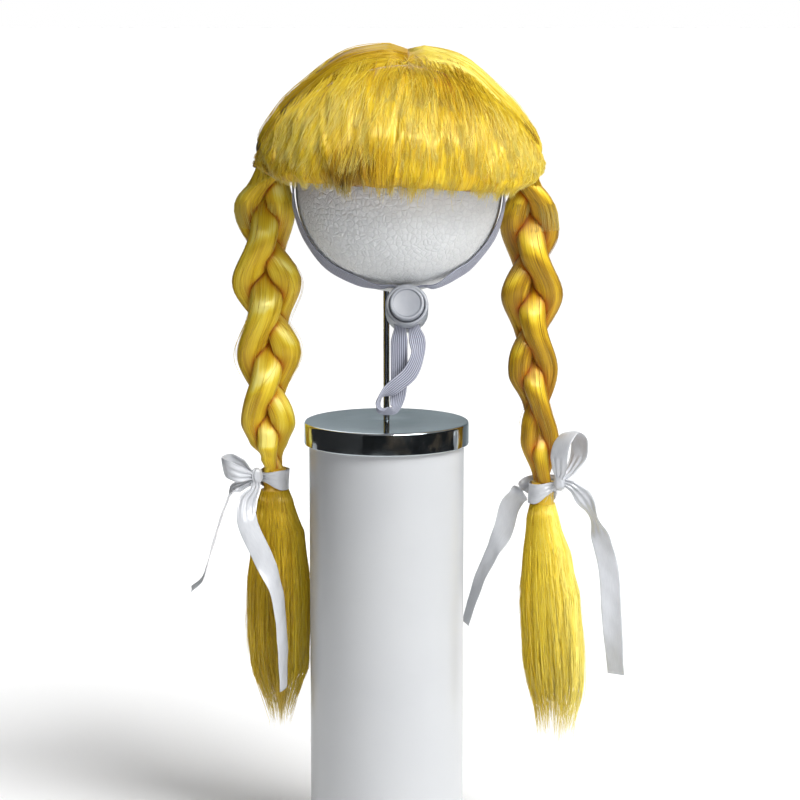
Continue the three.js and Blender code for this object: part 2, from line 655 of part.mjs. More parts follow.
// Two runs of strap lie side by side in the slot, with a gap beside and between them.
const runPlace = strapBunched / 2 + gap + 0.1;
const slotHalf = runPlace + strapBunched / 2 + 1.5 * gap;
const strapClear = strapThick / 2 + gap;

function buildLock() {
  const back = -slotToBack - buttonTravel - gap;
  const box = (from, to) => (
    new THREE.BoxGeometry(2 * slotHalf, 4 * lockRadius, to - from).translate(0, 0, (from + to) / 2)
  );
  const shell = solidOf(roundBar(lockRadius, back - lockWall, slotToFace, lockSides))
    .subtract(solidOf(roundBar(buttonRadius + gap, back, slotToFace + lockRadius, lockSides)))
    .subtract(solidOf(box(-strapClear - gap, strapClear)));
  addPiece('lock_body', toLock(geometryOf(shell)), lockPlastic);
  const button = solidOf(roundBar(buttonRadius, -slotToBack, slotToFace + buttonProud, lockSides))
    .subtract(solidOf(box(-strapClear, strapClear + buttonTravel)));
  addPiece('lock_button', toLock(geometryOf(button)), lockPlastic);
}

// The chin strap: one length of elastic from the base's left side, round the ball to the lock, down through it,
// round in a loop, up through the lock again and round to the base's right side.
function buildStrap() {
  const onBall = (x, y, z) => {
    const way = vector(x, y, z);
    return fromBall(way.normalize(), ballRadius + strapThick / 2 + strapLift);
  };
  const underRim = capSideRim - THREE.MathUtils.radToDeg(gap / ballRadius);
  const start = (hand) => fromBall(direction(hand * 80, underRim), capInner + (strapThick + gap) / 2);
  const byLock = (hand, out, up) => (
    lockPlace.clone().add(vector(hand * out * lockRadius, 0, 0)).addScaledVector(slotUp, up * lockRadius)
  );
  const inSlot = (hand, up) => byLock(hand, runPlace / lockRadius, up);
  const hang = (x, y, z) => lockPlace.clone().add(vector(x, y, z).multiplyScalar(lockRadius));
  const wide = strapWidth;
  const arm = (hand) => [
    { place: start(hand), side: vector(0, -1, 0), wide },
    { place: onBall(hand * 0.965, -0.2, -0.17), side: vector(hand * -0.19, -0.97, 0.08), wide },
    { place: onBall(hand * 0.86, -0.235, -0.45), side: vector(hand * -0.24, -0.91, 0.33), wide },
    { place: onBall(hand * 0.66, -0.31, -0.69), side: vector(hand * -0.15, -0.8, 0.59), wide },
    { place: onBall(hand * 0.4, -0.42, -0.815), side: vector(0, -0.72, 0.7), wide },
    { place: byLock(hand, 1.3, 1.02), side: vector(0, -1, 0.45), wide: 0.8 * wide },
    { place: byLock(hand, 0.76, 1.04), side: vector(-hand * 0.2, -1, 0.4), wide: 0.4 * wide },
    { place: byLock(hand, 0.44, 0.99), side: vector(-hand, -0.5, 0), wide: 0.22 * wide },
    { place: inSlot(hand, 0.82), side: vector(-hand, 0, 0), wide: 0.35 * wide },
    { place: inSlot(hand, 0.5), side: vector(-hand, 0, 0), wide: strapBunched },
    { place: inSlot(hand, -0.9), side: vector(-hand, 0, 0), wide: strapBunched },
  ];
  const loop = [
    { place: hang(-0.36, -0.4, -1.6), side: vector(1, 0, 0), wide },
    { place: hang(-0.36, -0.4, -2.8), side: vector(1, 0.1, 0), wide },
    { place: hang(-0.4, -0.36, -3.9), side: vector(1, 0.3, 0), wide },
    { place: hang(-0.62, -0.4, -4.75), side: vector(0.5, 1, 0.2), wide },
    { place: hang(-1.15, -0.62, -4.72), side: vector(0, 1, -0.5), wide },
    { place: hang(-1.3, -0.85, -4.2), side: vector(-0.2, 1, 0.4), wide },
    { place: hang(-0.6, -0.98, -3.6), side: vector(0.6, 0.4, -0.8), wide },
    { place: hang(0.15, -0.82, -2.95), side: vector(0.7, 0.3, -0.6), wide },
    { place: hang(0.5, -0.6, -2.1), side: vector(0.8, 0.6, 0), wide },
    { place: hang(0.48, -0.42, -1.5), side: vector(1, 0.2, 0), wide },
  ];
  const left = arm(-1);
  const right = arm(1).reverse().map((row) => ({ ...row, side: row.side.clone().negate() }));
  addPiece('chin_strap', stripBody([...left, ...loop, ...right], strapThick, 72), elastic);
}

buildStand();
buildCap();
buildCrown('crown_left', -1);
buildCrown('crown_right', 1);
buildFringe();
for (const side of [leftSide, rightSide]) {
  for (let strand = 0; strand < 3; strand++) buildStrand(side, strand);
  buildTail(side);
}
buildLeftBow();
buildRightBow();
buildLock();
buildStrap();

export default model;
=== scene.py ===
# A small animal's costume wig with a fringe, two braids, ribbon bows and a chin strap, on its plain stand.
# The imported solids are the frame. Lengths below are millimetres until makePiece turns them to metres.
import math

import bpy
import numpy as np
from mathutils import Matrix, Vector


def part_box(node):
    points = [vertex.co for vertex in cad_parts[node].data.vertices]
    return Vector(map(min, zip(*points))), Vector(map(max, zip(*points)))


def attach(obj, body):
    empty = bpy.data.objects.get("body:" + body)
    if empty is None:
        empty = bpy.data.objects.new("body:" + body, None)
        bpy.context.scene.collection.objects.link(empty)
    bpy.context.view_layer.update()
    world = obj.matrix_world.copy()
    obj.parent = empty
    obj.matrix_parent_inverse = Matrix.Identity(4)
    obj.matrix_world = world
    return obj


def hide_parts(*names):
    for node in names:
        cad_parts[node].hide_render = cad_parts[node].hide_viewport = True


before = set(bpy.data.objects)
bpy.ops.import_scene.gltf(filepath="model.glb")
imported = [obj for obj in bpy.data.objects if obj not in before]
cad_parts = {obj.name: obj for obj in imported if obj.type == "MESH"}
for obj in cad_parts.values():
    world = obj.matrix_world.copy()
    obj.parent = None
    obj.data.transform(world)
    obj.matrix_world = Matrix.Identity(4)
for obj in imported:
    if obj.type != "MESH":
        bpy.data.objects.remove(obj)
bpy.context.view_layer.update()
wigBody = "wig_and_stand"
# gap is left between pieces that don't touch
gap = 0.3
rng = np.random.default_rng(11)
print("frame loaded,", len(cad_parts), "solids")


def nodeBox(node):
    # lowest and highest corner of a solid, in millimetres
    low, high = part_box(node)
    return np.array(low) * 1000, np.array(high) * 1000


ballLow, ballHigh = nodeBox("stand_ball")
ballCentre = (ballLow + ballHigh) / 2
ballRadius = (ballHigh[2] - ballLow[2]) / 2
capOuter = nodeBox("wig_cap")[1][2] - ballCentre[2]
columnLow, columnHigh = nodeBox("stand_column")
lidLow, lidHigh = nodeBox("stand_lid")


# shapes: tables, directions and paths, all on whole arrays

def readRows(rows, key, at):
    # one column of a table, eased between the two rows that at lies between
    places = np.array(rows["at"], float)
    values = np.array(rows[key], float)
    at = np.asarray(at, float)
    i = np.clip(np.searchsorted(places, at, side="right") - 1, 0, len(places) - 2)
    share = np.clip((at - places[i]) / (places[i + 1] - places[i]), 0, 1)
    soft = share * share * (3 - 2 * share)
    return values[i] * (1 - soft) + values[i + 1] * soft


def unit(vectors):
    return vectors / np.maximum(np.linalg.norm(vectors, axis=-1, keepdims=True), 1e-9)


def direction(turn, rise):
    # unit vector from the ball's middle: turn from the front towards +X, rise from the level, in degrees
    turn, rise = np.broadcast_arrays(np.radians(turn), np.radians(rise))
    return np.stack([np.cos(rise) * np.sin(turn), -np.cos(rise) * np.cos(turn), np.sin(rise)], -1)


def onArc(start, end, share):
    # the unit vector a share of the way along the great arc from start to end; past 1 it runs on
    angle = np.arccos(np.clip((start * end).sum(-1), -1, 1))[..., None]
    share = np.asarray(share, float)[..., None]
    return unit((np.sin((1 - share) * angle) * start + np.sin(share * angle) * end) / np.sin(angle))


def smoothPath(points, steps):
    # a centripetal Catmull-Rom curve through the points, in even steps of its parameter
    points = np.asarray(points, float)
    padded = np.vstack([2 * points[0] - points[1], points, 2 * points[-1] - points[-2]])
    t = np.linspace(0, len(points) - 1, steps + 1)
    k = np.minimum(t.astype(int), len(points) - 2)
    f = (t - k)[:, None]
    p0, p1, p2, p3 = (padded[k + n] for n in range(4))
    pairs = ((p0, p1), (p1, p2), (p2, p3))
    d0, d1, d2 = (np.linalg.norm(b - a, axis=1, keepdims=True) ** 0.5 for a, b in pairs)
    m1 = ((p1 - p0) / d0 - (p2 - p0) / (d0 + d1) + (p2 - p1) / d1) * d1
    m2 = ((p2 - p1) / d1 - (p3 - p1) / (d1 + d2) + (p3 - p2) / d2) * d1
    return ((2 * f ** 3 - 3 * f ** 2 + 1) * p1 + (f ** 3 - 2 * f ** 2 + f) * m1
            + (3 * f ** 2 - 2 * f ** 3) * p2 + (f ** 3 - f ** 2) * m2)


def bend(controls, steps):
    # smooth curves through a few points each, all at once: Catmull-Rom in even steps
    padded = np.concatenate([2 * controls[:, :1] - controls[:, 1:2], controls,
                             2 * controls[:, -1:] - controls[:, -2:-1]], 1)
    t = np.linspace(0, controls.shape[1] - 1, steps)
    k = np.minimum(t.astype(int), controls.shape[1] - 2)
    f = (t - k)[None, :, None]
    p0, p1, p2, p3 = (padded[:, k + n] for n in range(4))
    return 0.5 * (2 * p1 + (p2 - p0) * f + (2 * p0 - 5 * p1 + 4 * p2 - p3) * f ** 2
                  + (3 * p1 - p0 - 3 * p2 + p3) * f ** 3)


def ridges(across, along, counts, seed, wander=0.25):
    # rounded locks side by side, 0 in the grooves and 1 on top: each finer count is weaker, and wanders more
    draw = np.random.default_rng(seed)
    total = np.zeros(np.broadcast(across, along).shape)
    weight = 0
    for step, count in enumerate(counts):
        phase, slow = draw.uniform(0, 2 * np.pi, 2)
        drift = wander * (step + 0.3) * np.sin(slow + (2 + step) * along + 3 * across)
        strength = 0.5 ** step
        angle = np.pi * count * across
        if step:
            angle = angle + phase + drift
        total += strength * np.sqrt(np.abs(np.sin(angle)))
        weight += strength
    return total / weight


# meshes

def placeObject(name, data):
    placed = bpy.data.objects.new(name, data)
    bpy.context.scene.collection.objects.link(placed)
    return placed


def placeFlat(name, corners, faces, material=None):
    # a mesh of a few corners, in metres, and four-sided faces
    mesh = bpy.data.meshes.new(name)
    mesh.from_pydata(np.asarray(corners).tolist(), [], np.asarray(faces).tolist())
    if material:
        mesh.materials.append(material)
    return placeObject(name, mesh)


def gridFaces(rows, columns, joined=False):
    # four-sided faces between neighbouring rings of points; joined also ties the last ring to the first
    i, j = np.meshgrid(np.arange(rows if joined else rows - 1), np.arange(columns), indexing="ij")
    here, below = i * columns, (i + 1) % rows * columns
    nextJ = (j + 1) % columns
    return np.stack([here + j, here + nextJ, below + nextJ, below + j], -1).reshape(-1, 4)


def endFaces(rows, columns):
    # three-sided faces from the first and the last ring to two middle points, which follow the rings' points
    j = np.arange(columns)
    nextJ, last, hub = (j + 1) % columns, (rows - 1) * columns, np.full(columns, rows * columns)
    return np.vstack([np.stack([nextJ, j, hub], -1), np.stack([last + j, last + nextJ, hub + 1], -1)])


def makePiece(name, points, faceSets, material, replaced=(), fields=None, uv=None, rides=wigBody):
    # puts arrays of points and of faces into a mesh whose faces point out
    points = np.asarray(points, float).reshape(-1, 3) / 1000
    volume = 0
    for faces in faceSets:
        for k in range(1, faces.shape[1] - 1):
            a, b, c = (points[faces[:, n]] for n in (0, k, k + 1))
            volume += np.einsum("ij,ij->", a, np.cross(b, c))
    if volume < 0:
        faceSets = [faces[:, ::-1] for faces in faceSets]
        uv = None if uv is None else [corners[:, ::-1] for corners in uv]
    loops = np.concatenate([faces.ravel() for faces in faceSets]).astype(np.int32)
    sizes = np.concatenate([np.full(len(faces), faces.shape[1]) for faces in faceSets])
    mesh = bpy.data.meshes.new(name)
    mesh.vertices.add(len(points))
    mesh.vertices.foreach_set("co", points.astype(np.float32).ravel())
    mesh.loops.add(len(loops))
    mesh.polygons.add(len(sizes))
    mesh.polygons.foreach_set("loop_start", np.concatenate([[0], np.cumsum(sizes)[:-1]]).astype(np.int32))
    mesh.polygons.foreach_set("vertices", loops)
    mesh.polygons.foreach_set("use_smooth", np.ones(len(sizes), bool))
    mesh.update(calc_edges=True)
    for field, values in (fields or {}).items():
        attribute = mesh.attributes.new(field, "FLOAT", "POINT")
        attribute.data.foreach_set("value", np.asarray(values, np.float32).ravel())
    if uv is not None:
        layer = mesh.uv_layers.new(name="flow")
        flow = np.concatenate([corners.reshape(-1, 2) for corners in uv])
        layer.data.foreach_set("uv", flow.astype(np.float32).ravel())
    mesh.validate()
    piece = placeObject(name, mesh)
    mesh.materials.append(material)
    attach(piece, rides)
    if replaced:
        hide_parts(*replaced)
    return piece


def sweep(name, rings, material, replaced=(), fields=None, ends="fan", flow=None):
    # joins rings of a closed section, point by point, into one closed body. ends="fan" closes an end round
    # its middle; ends="strip" joins the section's first half to its second, for a section that is thin.
    # flow is where the pattern lies, in millimetres: across, at a section's points, and along, at the rings.
    rings = np.asarray(rings, float)
    count, sides = rings.shape[:2]
    points = rings.reshape(-1, 3)
    across, along = flow if flow else (np.linspace(0, 1, sides + 1), np.linspace(0, 1, count))
    u, v = np.broadcast_arrays(across, np.asarray(along)[:, None])
    flat = np.stack([u, v], -1)
    corners = np.stack([flat[:-1, :-1], flat[:-1, 1:], flat[1:, 1:], flat[1:, :-1]], 2).reshape(-1, 4, 2)
    last = (count - 1) * sides
    if ends == "fan":
        points = np.vstack([points, rings[0].mean(0), rings[-1].mean(0)])
        caps = endFaces(count, sides)
        fields = {k: np.ravel(values) for k, values in (fields or {}).items()}
        fields = {k: np.append(values, [values[0], values[-1]]) for k, values in fields.items()}
    else:
        j = np.arange(sides // 2 - 1)
        strip = np.stack([j, j + 1, sides - 2 - j, sides - 1 - j], -1)
        caps = np.vstack([strip[:, ::-1], last + strip])
    capV = np.where(caps.min(1) < last, along[0], along[-1])[:, None]
    inside = (caps >= count * sides) | ((ends == "strip") & (caps % sides >= sides // 2))
    uv = [corners, np.stack([np.asarray(across)[caps % sides], capV + 5 * inside], -1)]
    return makePiece(name, points, [gridFaces(count, sides), caps], material, replaced, fields, uv)


def aroundSheet(wide, wall=20):
    # the pattern's places round a sheet's section: outer face, an edge wall, inner face, the other wall
    return np.concatenate([wide, 2 * wide[-1] + wall - wide[::-1], [2 * wide[-1] + 2 * wall - wide[0]]])


def turned(name, profile, sides, material, replaced=(), place=(0, 0, 0), axes=None, rides=wigBody):
    # turns a profile of (radius, height) about an axis. A profile that starts and ends at radius 0 closes on
    # the axis; any other is a ring, and closes on itself.
    profile = np.asarray(profile, float)
    around = np.linspace(0, 2 * np.pi, sides, endpoint=False)
    onAxis = profile[0, 0] < 1e-6
    rows = profile[1:-1] if onAxis else profile
    local = np.stack([rows[:, :1] * np.cos(around), rows[:, :1] * np.sin(around),
                      np.repeat(rows[:, 1:], sides, 1)], -1)
    points, faceSets = local.reshape(-1, 3), [gridFaces(len(rows), sides, not onAxis)]
    if onAxis:
        points = np.vstack([points, [[0, 0, profile[0, 1]], [0, 0, profile[-1, 1]]]])
        faceSets.append(endFaces(len(rows), sides))
    if axes is not None:
        points = points @ np.asarray(axes, float)
    return makePiece(name, points + np.asarray(place, float), faceSets, material, replaced, rides=rides)


def roundedCorner(corner, before, after, radius, steps=5):
    # points of a rounded corner between two neighbouring points of a profile
    corner, before, after = (np.array(p, float) for p in (corner, before, after))
    start = corner + unit(before - corner) * radius
    end = corner + unit(after - corner) * radius
    t = np.linspace(0, 1, steps)[:, None]
    return (1 - t) ** 2 * start + 2 * t * (1 - t) * corner + t ** 2 * end


def roundedProfile(corners, radii):
    # a profile through its corners, each rounded by its own radius; 0 keeps it sharp
    parts = []
    for k, (corner, radius) in enumerate(zip(corners, radii)):
        before, after = corners[k - 1], corners[(k + 1) % len(corners)]
        parts.append(roundedCorner(corner, before, after, radius) if radius else np.array([corner], float))
    return np.vstack(parts)


def forHairs(values, each):
    # a lock's value for each of its hairs, as a column
    return np.repeat(values, each)[:, None]


def hairTubes(name, paths, away, radius, tone, material, swell=0.35):
    # thin closed hairs with three sides, one for each path. Each swells from its root, keeps its thickness
    # and thins to a point. away is the outward way that its first side faces. The last ring is moved close to
    # the tip, so that the tip's blunt shading stays there.
    paths = np.array(paths, float)
    count, steps = paths.shape[:2]
    along = unit(np.gradient(paths, axis=1))
    side = unit(np.cross(along, away))
    up = np.cross(side, along)
    share = np.linspace(0, 1, steps)
    share[-2] += 0.8 * (share[-1] - share[-2])
    paths[:, -2] += 0.8 * (paths[:, -1] - paths[:, -2])
    thick = np.minimum(1, swell + share * 6) * np.sqrt(np.clip(1 - share ** 3, 0, 1))
    size = np.asarray(radius)[:, None, None] * thick[None, :, None]
    corners = np.stack([paths + size * (math.cos(a) * up + math.sin(a) * side)
                        for a in (0, 2 * math.pi / 3, 4 * math.pi / 3)], 2)
    body = corners[:, :-1].reshape(count, -1, 3)
    points = np.concatenate([body, paths[:, -1:]], 1)
    each = points.shape[1]
    top, tip = (steps - 2) * 3, each - 1
    quads = gridFaces(steps - 1, 3)
    tris = np.array([[top, top + 1, tip], [top + 1, top + 2, tip], [top + 2, top, tip], [2, 1, 0]])
    offset = (np.arange(count) * each)[:, None, None]
    faceSets = [(quads + offset).reshape(-1, 4), (tris + offset).reshape(-1, 3)]
    fields = {"tone": np.repeat(tone, each), "along": np.tile(np.append(np.repeat(share[:-1], 3), 1), count)}
    return makePiece(name, points, faceSets, material, fields=fields)


# materials

def linearColor(hexText):
    # an sRGB colour, as six hex digits, in the linear values that the shader takes
    parts = [int(hexText[i:i + 2], 16) / 255 for i in (0, 2, 4)]
    return [c / 12.92 if c <= 0.04045 else ((c + 0.055) / 1.055) ** 2.4 for c in parts] + [1.0]


def addNode(material, kind, inputs=None, stops=None, **settings):
    # adds a node: settings are its own; inputs are values, sockets that feed it, or nodes whose first output
    # does
    node = material.node_tree.nodes.new("ShaderNode" + kind)
    for key, value in settings.items():
        setattr(node, key, value)
    for key, value in (inputs or {}).items():
        if isinstance(value, bpy.types.Node):
            value = value.outputs[0]
        if isinstance(value, bpy.types.NodeSocket):
            material.node_tree.links.new(value, node.inputs[key])
        else:
            node.inputs[key].default_value = value
    if stops:
        ramp = node.color_ramp
        while len(ramp.elements) < len(stops):
            ramp.elements.new(0.5)
        for element, (place, color) in zip(ramp.elements, stops):
            element.position = place
            element.color = linearColor(color) if isinstance(color, str) else [color] * 3 + [1]
    return node


def newMaterial(name):
    material = bpy.data.materials.new(name)
    material.use_nodes = True
    material.node_tree.nodes.clear()
    return material


def finishMaterial(material, **inputs):
    # one Principled surface from named inputs, with spaces written as underscores
    shader = addNode(material, "BsdfPrincipled", {k.replace("_", " "): v for k, v in inputs.items()})
    addNode(material, "OutputMaterial", {"Surface": shader}, is_active_output=True)
    return material


hairFinish = {
    "stops": [(0.0, "5F430A"), (0.2, "8F680F"), (0.42, "BC9216"), (0.62, "DAB822"), (0.82, "EBD240"),
              (1.0, "F6E87E")],
    "creaseShade": "B4570F", "tip": "F3E898", "sheen": "FFEDA6", "streak": (0.75, 45), "fine": (0.3, 18),
    "roughness": 0.41, "looseRoughness": 0.35, "anisotropy": 0.9, "specular": 0.75, "bump": 0.3,
    "bumpDepth": 0.0003,
}


def combedFibre(finish):
    # Modacrylic wig fibre, extruded and combed: thousands of smooth parallel fibres stretch a highlight
    # across the hair. Light that goes between them comes back deeper and redder in the creases; here that is
    # painted shade, a mix towards a deep red-amber wherever the creaseShade field is set.
    # A fibre is 0.08 mm, too fine to show, so the streaks are drawn 0.75 mm wide and the fine ones 0.3 mm.
    m = newMaterial("modacrylicCombed")
    uv = addNode(m, "UVMap", uv_map="flow")
    place = addNode(m, "TexCoord").outputs["Object"]
    wide, long = finish["streak"]
    broad = addNode(m, "Mapping", {"Vector": uv, "Scale": (1 / wide, 1 / long, 1)})
    wide, long = finish["fine"]
    fine = addNode(m, "Mapping", {"Vector": uv, "Scale": (1 / wide, 1 / long, 1)})
    streak = addNode(m, "TexNoise", {"Vector": broad, "Scale": 1, "Detail": 3, "Roughness": 0.6})
    thread = addNode(m, "TexNoise", {"Vector": fine, "Scale": 1, "Detail": 2, "Roughness": 0.7})
    patch = addNode(m, "TexNoise", {"Vector": place, "Scale": 45, "Detail": 2, "Roughness": 0.5})
    both = addNode(m, "Math", {0: streak, 1: thread}, operation="ADD")
    spread = addNode(m, "MapRange", {"Value": both, 1: 0.6, 2: 1.4, 3: -0.3, 4: 0.3})
    region = addNode(m, "MapRange", {"Value": patch, 1: 0.3, 2: 0.7, 3: -0.08, 4: 0.08})
    tone = addNode(m, "Attribute", attribute_name="tone").outputs["Fac"]
    shift = addNode(m, "Math", {0: spread, 1: region}, operation="ADD")
    level = addNode(m, "Math", {0: tone, 1: shift}, operation="ADD", use_clamp=True)
    color = addNode(m, "ValToRGB", {"Fac": level}, stops=finish["stops"])
    # painted shade: the creaseShade field mixes the colour towards the deep red-amber
    creaseShade = addNode(m, "Attribute", attribute_name="creaseShade").outputs["Fac"]
    deep = linearColor(finish["creaseShade"])
    shaded = addNode(m, "Mix", {"Factor": creaseShade, 6: color, 7: deep}, data_type="RGBA")
    bump = addNode(m, "Bump", {"Strength": finish["bump"], "Distance": finish["bumpDepth"], "Height": both})
    tangent = addNode(m, "Tangent", direction_type="UV_MAP", uv_map="flow")
    return finishMaterial(m, Base_Color=shaded.outputs[2], Roughness=finish["roughness"], IOR=1.54,
                          Specular_IOR_Level=finish["specular"], Specular_Tint=linearColor(finish["sheen"]),
                          Anisotropic=finish["anisotropy"], Tangent=tangent, Normal=bump)


def looseFibre(finish):
    # The same fibre where it lies loose: each small lock has its own tone. A lock is shaded where others
    # cover its root, and its tip, where only a few fibres are left, lets the light through and looks pale.
    m = newMaterial("modacrylicLoose")
    tone = addNode(m, "Attribute", attribute_name="tone").outputs["Fac"]
    along = addNode(m, "Attribute", attribute_name="along").outputs["Fac"]
    root = addNode(m, "MapRange", {"Value": along, 1: 0.0, 2: 0.4, 3: -0.04, 4: 0.02})
    level = addNode(m, "Math", {0: tone, 1: root}, operation="ADD", use_clamp=True)
    color = addNode(m, "ValToRGB", {"Fac": level}, stops=finish["stops"])
    tip = addNode(m, "MapRange", {"Value": along, 1: 0.75, 2: 1.0, 3: 0.0, 4: 0.6})
    pale = addNode(m, "Mix", {"Factor": tip, 6: color, 7: linearColor(finish["tip"])}, data_type="RGBA")
    return finishMaterial(m, Base_Color=pale.outputs[2], Roughness=finish["looseRoughness"], IOR=1.54,
                          Specular_IOR_Level=finish["specular"], Specular_Tint=linearColor(finish["sheen"]))


combed = combedFibre(hairFinish)
loose = looseFibre(hairFinish)
print("hair materials made")


# hair of the crown and the fringe

wigHair = {
    "inner": capOuter + 0.57, "depth": 20.7, "rootAngle": 58.6, "napeAngle": 202, "gatherAngle": 9,
    "gatherFrom": 77, "gatherTo": 112, "partingSide": 0.065, "partingGap": 0.02, "relief": 0.09,
}
crown = {
    "across": 170, "down": 80, "size": (150, 125), "locks": (5, 17, 41),
    "clumps": 64, "hairsEach": 21, "hairSteps": 10, "strayEach": 17, "bridging": 480, "bridgeSteps": 9,
    # leftShade and rightTone paint the crown's left side darker and its right side lighter
    "leftShade": -0.45, "rightTone": 0.28, "frontEdge": -0.03, "rimRound": 0.1,
    "downRows": {"at": [0, 0.1, 0.28, 0.52, 0.7, 0.9, 1], "deep": [0.68, 0.81, 0.85, 0.75, 0.81, 0.91, 0.9]},
    "acrossRows": {"at": [-0.03, 0, 0.04, 0.2, 0.7, 0.88, 1], "deep": [0.45, 0.86, 0.98, 1, 1, 0.86, 0.5]},
    # paintedLightRows: painted light near the parting, painted shade towards the rim
    "paintedLightRows": {"at": [0, 0.15, 0.4, 0.75, 1], "tone": [0.5, 0.68, 0.6, 0.5, 0.42]},
}


def onParting(angle, hand):
    # the parting over the top: angle is 0 at the front and 90 at the top, and hand picks its side
    angle = np.radians(angle)
    lean = wigHair["partingSide"] * np.maximum(0, np.sin(angle))
    lean = lean + hand * wigHair["partingGap"] / 2 / wigHair["inner"]
    return unit(np.stack([lean, -np.cos(angle), np.sin(angle)], -1))


def crownPoint(hand, back, share, lift=0.0):
    # the crown's outside: share runs along the great arc from the parting to the place where the side is
    # gathered, back from the fringe's root to the nape, and the depth tables and the locks' relief lift it
    start = onParting(wigHair["rootAngle"] + (wigHair["napeAngle"] - wigHair["rootAngle"]) * back, hand)
    end = direction(hand * (wigHair["gatherFrom"] + (wigHair["gatherTo"] - wigHair["gatherFrom"]) * back),
                    wigHair["gatherAngle"])
    way = onArc(start, end, share)
    grown = np.sin(np.pi * (0.12 + 0.88 * share))
    relief = wigHair["relief"] * (ridges(back, share, crown["locks"], 3) - 1) * grown
    deep = readRows(crown["downRows"], "deep", share) * readRows(crown["acrossRows"], "deep", back)
    rim = np.clip((share - 1 + crown["rimRound"]) / crown["rimRound"], 0, 1)
    deep = (deep + relief) * np.sqrt(1 - 0.8 * rim ** 2)
    return way, wigHair["inner"] + wigHair["depth"] * deep + lift


def combedShell(name, way, reach, tone, creaseShade, underShade, size):
    # hair as an outer and an inner skin, closed along their rim; size is the pattern's width and length.
    # The inner skin is painted shade: 0.3 darker in tone, with underShade as its creaseShade.
    outer = ballCentre + way * reach[..., None]
    inner = ballCentre + way * wigHair["inner"]
    fields = {"tone": np.concatenate([tone, tone[:, ::-1] - 0.3], 1),
              "creaseShade": np.concatenate([creaseShade, underShade + 0 * creaseShade], 1)}
    flow = (aroundSheet(np.linspace(0, size[0], reach.shape[1])), np.linspace(0, size[1], len(reach)))
    rings = np.concatenate([outer, inner[:, ::-1]], 1)
    sweep(name + "_combed", rings, combed, (name,), fields, "strip", flow)


def hairsOnBall(name, way, reach, radius, tone):
    # hairs whose points lie out from the ball's middle, each along its way by its reach
    hairTubes(name, ballCentre + way * reach[..., None], way, radius, tone, loose)


def strays(count, every):
    # a column that is true for one hair in every so many
    return (np.arange(count) % every == 0)[:, None]


def buildCrown(name, hand):
    # one side's combed hair; its front edge runs on under the fringe's root
    share = np.linspace(0, 1, crown["down"])[:, None]
    back = np.linspace(crown["frontEdge"], 1, crown["across"])[None]
    share, back = np.broadcast_arrays(share, back)
    way, reach = crownPoint(hand, back, share)
    # painted light and shade: the left crown is painted darker and the right lighter, more so further down
    # the side; the tone table paints it lighter near the parting and darker towards the rim
    sideLight = (crown["leftShade"] if hand < 0 else crown["rightTone"]) * np.clip(0.15 + 2 * share, 0, 1)
    tone = readRows(crown["paintedLightRows"], "tone", share) + sideLight + 0.06 * np.sin(9 * back + 2)
    # painted shade: darker and redder along the rim and along the parting
    creaseShade = 0.5 * np.clip((share - 0.93) / 0.07, 0, 1) ** 2 + 0.2 * np.clip(1 - share / 0.03, 0, 1)
    combedShell(name, way, reach, tone, creaseShade, 0.25, crown["size"])

    # loose locks: each has its own start, length, drift and tone, and its hairs draw together towards its end
    clumps, each, steps = crown["clumps"], crown["hairsEach"], crown["hairSteps"]
    t = np.linspace(0, 1, steps)
    root = rng.uniform(-0.1, 0.5, clumps)
    end = np.minimum(1.0, root + rng.uniform(0.35, 0.9, clumps))
    middle = rng.uniform(-0.01, 0.99, clumps)
    drift = rng.normal(0, 0.012, clumps)
    count = clumps * each
    start = np.clip(forHairs(root, each) + rng.uniform(-0.06, 0.06, (count, 1)), 0.002, 0.9)
    stop = np.clip(forHairs(end, each) + rng.uniform(-0.06, 0.03, (count, 1)), start + 0.1, 1)
    share = start + (stop - start) * t
    offset = rng.normal(0, 0.012, (count, 1)) * (1 - 0.6 * t)
    back = forHairs(middle, each) + offset + forHairs(drift, each) * np.sin(np.pi * t)
    back = np.clip(back + 0.002 * np.sin(5 * t + 9 * offset), crown["frontEdge"], 0.999)
    lift = rng.uniform(-0.3, 0.2, (count, 1))
    lift = lift + forHairs(rng.uniform(0, 0.5, clumps), each) * np.sin(np.pi * t ** 1.4)
    lift += strays(count, crown["strayEach"]) * rng.uniform(0.3, 1.6, (count, 1)) * np.sin(2.6 * t)
    way, reach = crownPoint(hand, back, share, lift)
    tone = readRows(crown["paintedLightRows"], "tone", share.mean(1)) + sideLight.max(0)[0]
    tone += rng.normal(0.02, 0.06, count)
    tone += np.repeat(rng.normal(0, 0.09, clumps), each)
    hairsOnBall(name + "_hairs", way, reach, rng.uniform(0.09, 0.2, count), tone)


fringe = {
    "across": 280, "down": 44, "size": (170, 70), "depth": 20.2, "end": 73.5, "tips": 1.6, "recess": 0.95,
    "locks": (10, 31, 83), "clumps": 118, "hairsEach": 41, "hairSteps": 8, "strayEach": 16, "flyaway": 980,
    # leftEndShade and rightEndShade paint shade at the fringe's ends, the left one much darker
    "comb": (-0.34, 0.2), "tuck": 0.5, "wave": 0.032, "waves": 1.5, "leftEndShade": 0.46, "rightEndShade": 0.03,
    "patches": [(0.5, -0.24, 0.16, 0.84, 0.16), (0.18, -0.72, 0.2, 0.85, 0.3),
                (0.16, 0.22, 0.07, 0.15, 0.25)],
    "edgeRows": {"at": [-1, -0.6, 0, 0.6, 1], "rise": [7, 3.4, 1, -0.6, 3]},
    "downRows": {"at": [0, 0.2, 0.6, 0.85, 1], "deep": [0.88, 1, 1, 0.93, 0.72]},
    # paintedLightRows: painted light where the fringe swells, painted shade at its root
    "paintedLightRows": {"at": [0, 0.12, 0.35, 0.6, 0.8, 1], "tone": [0.44, 0.57, 0.74, 0.73, 0.66, 0.62]},
}


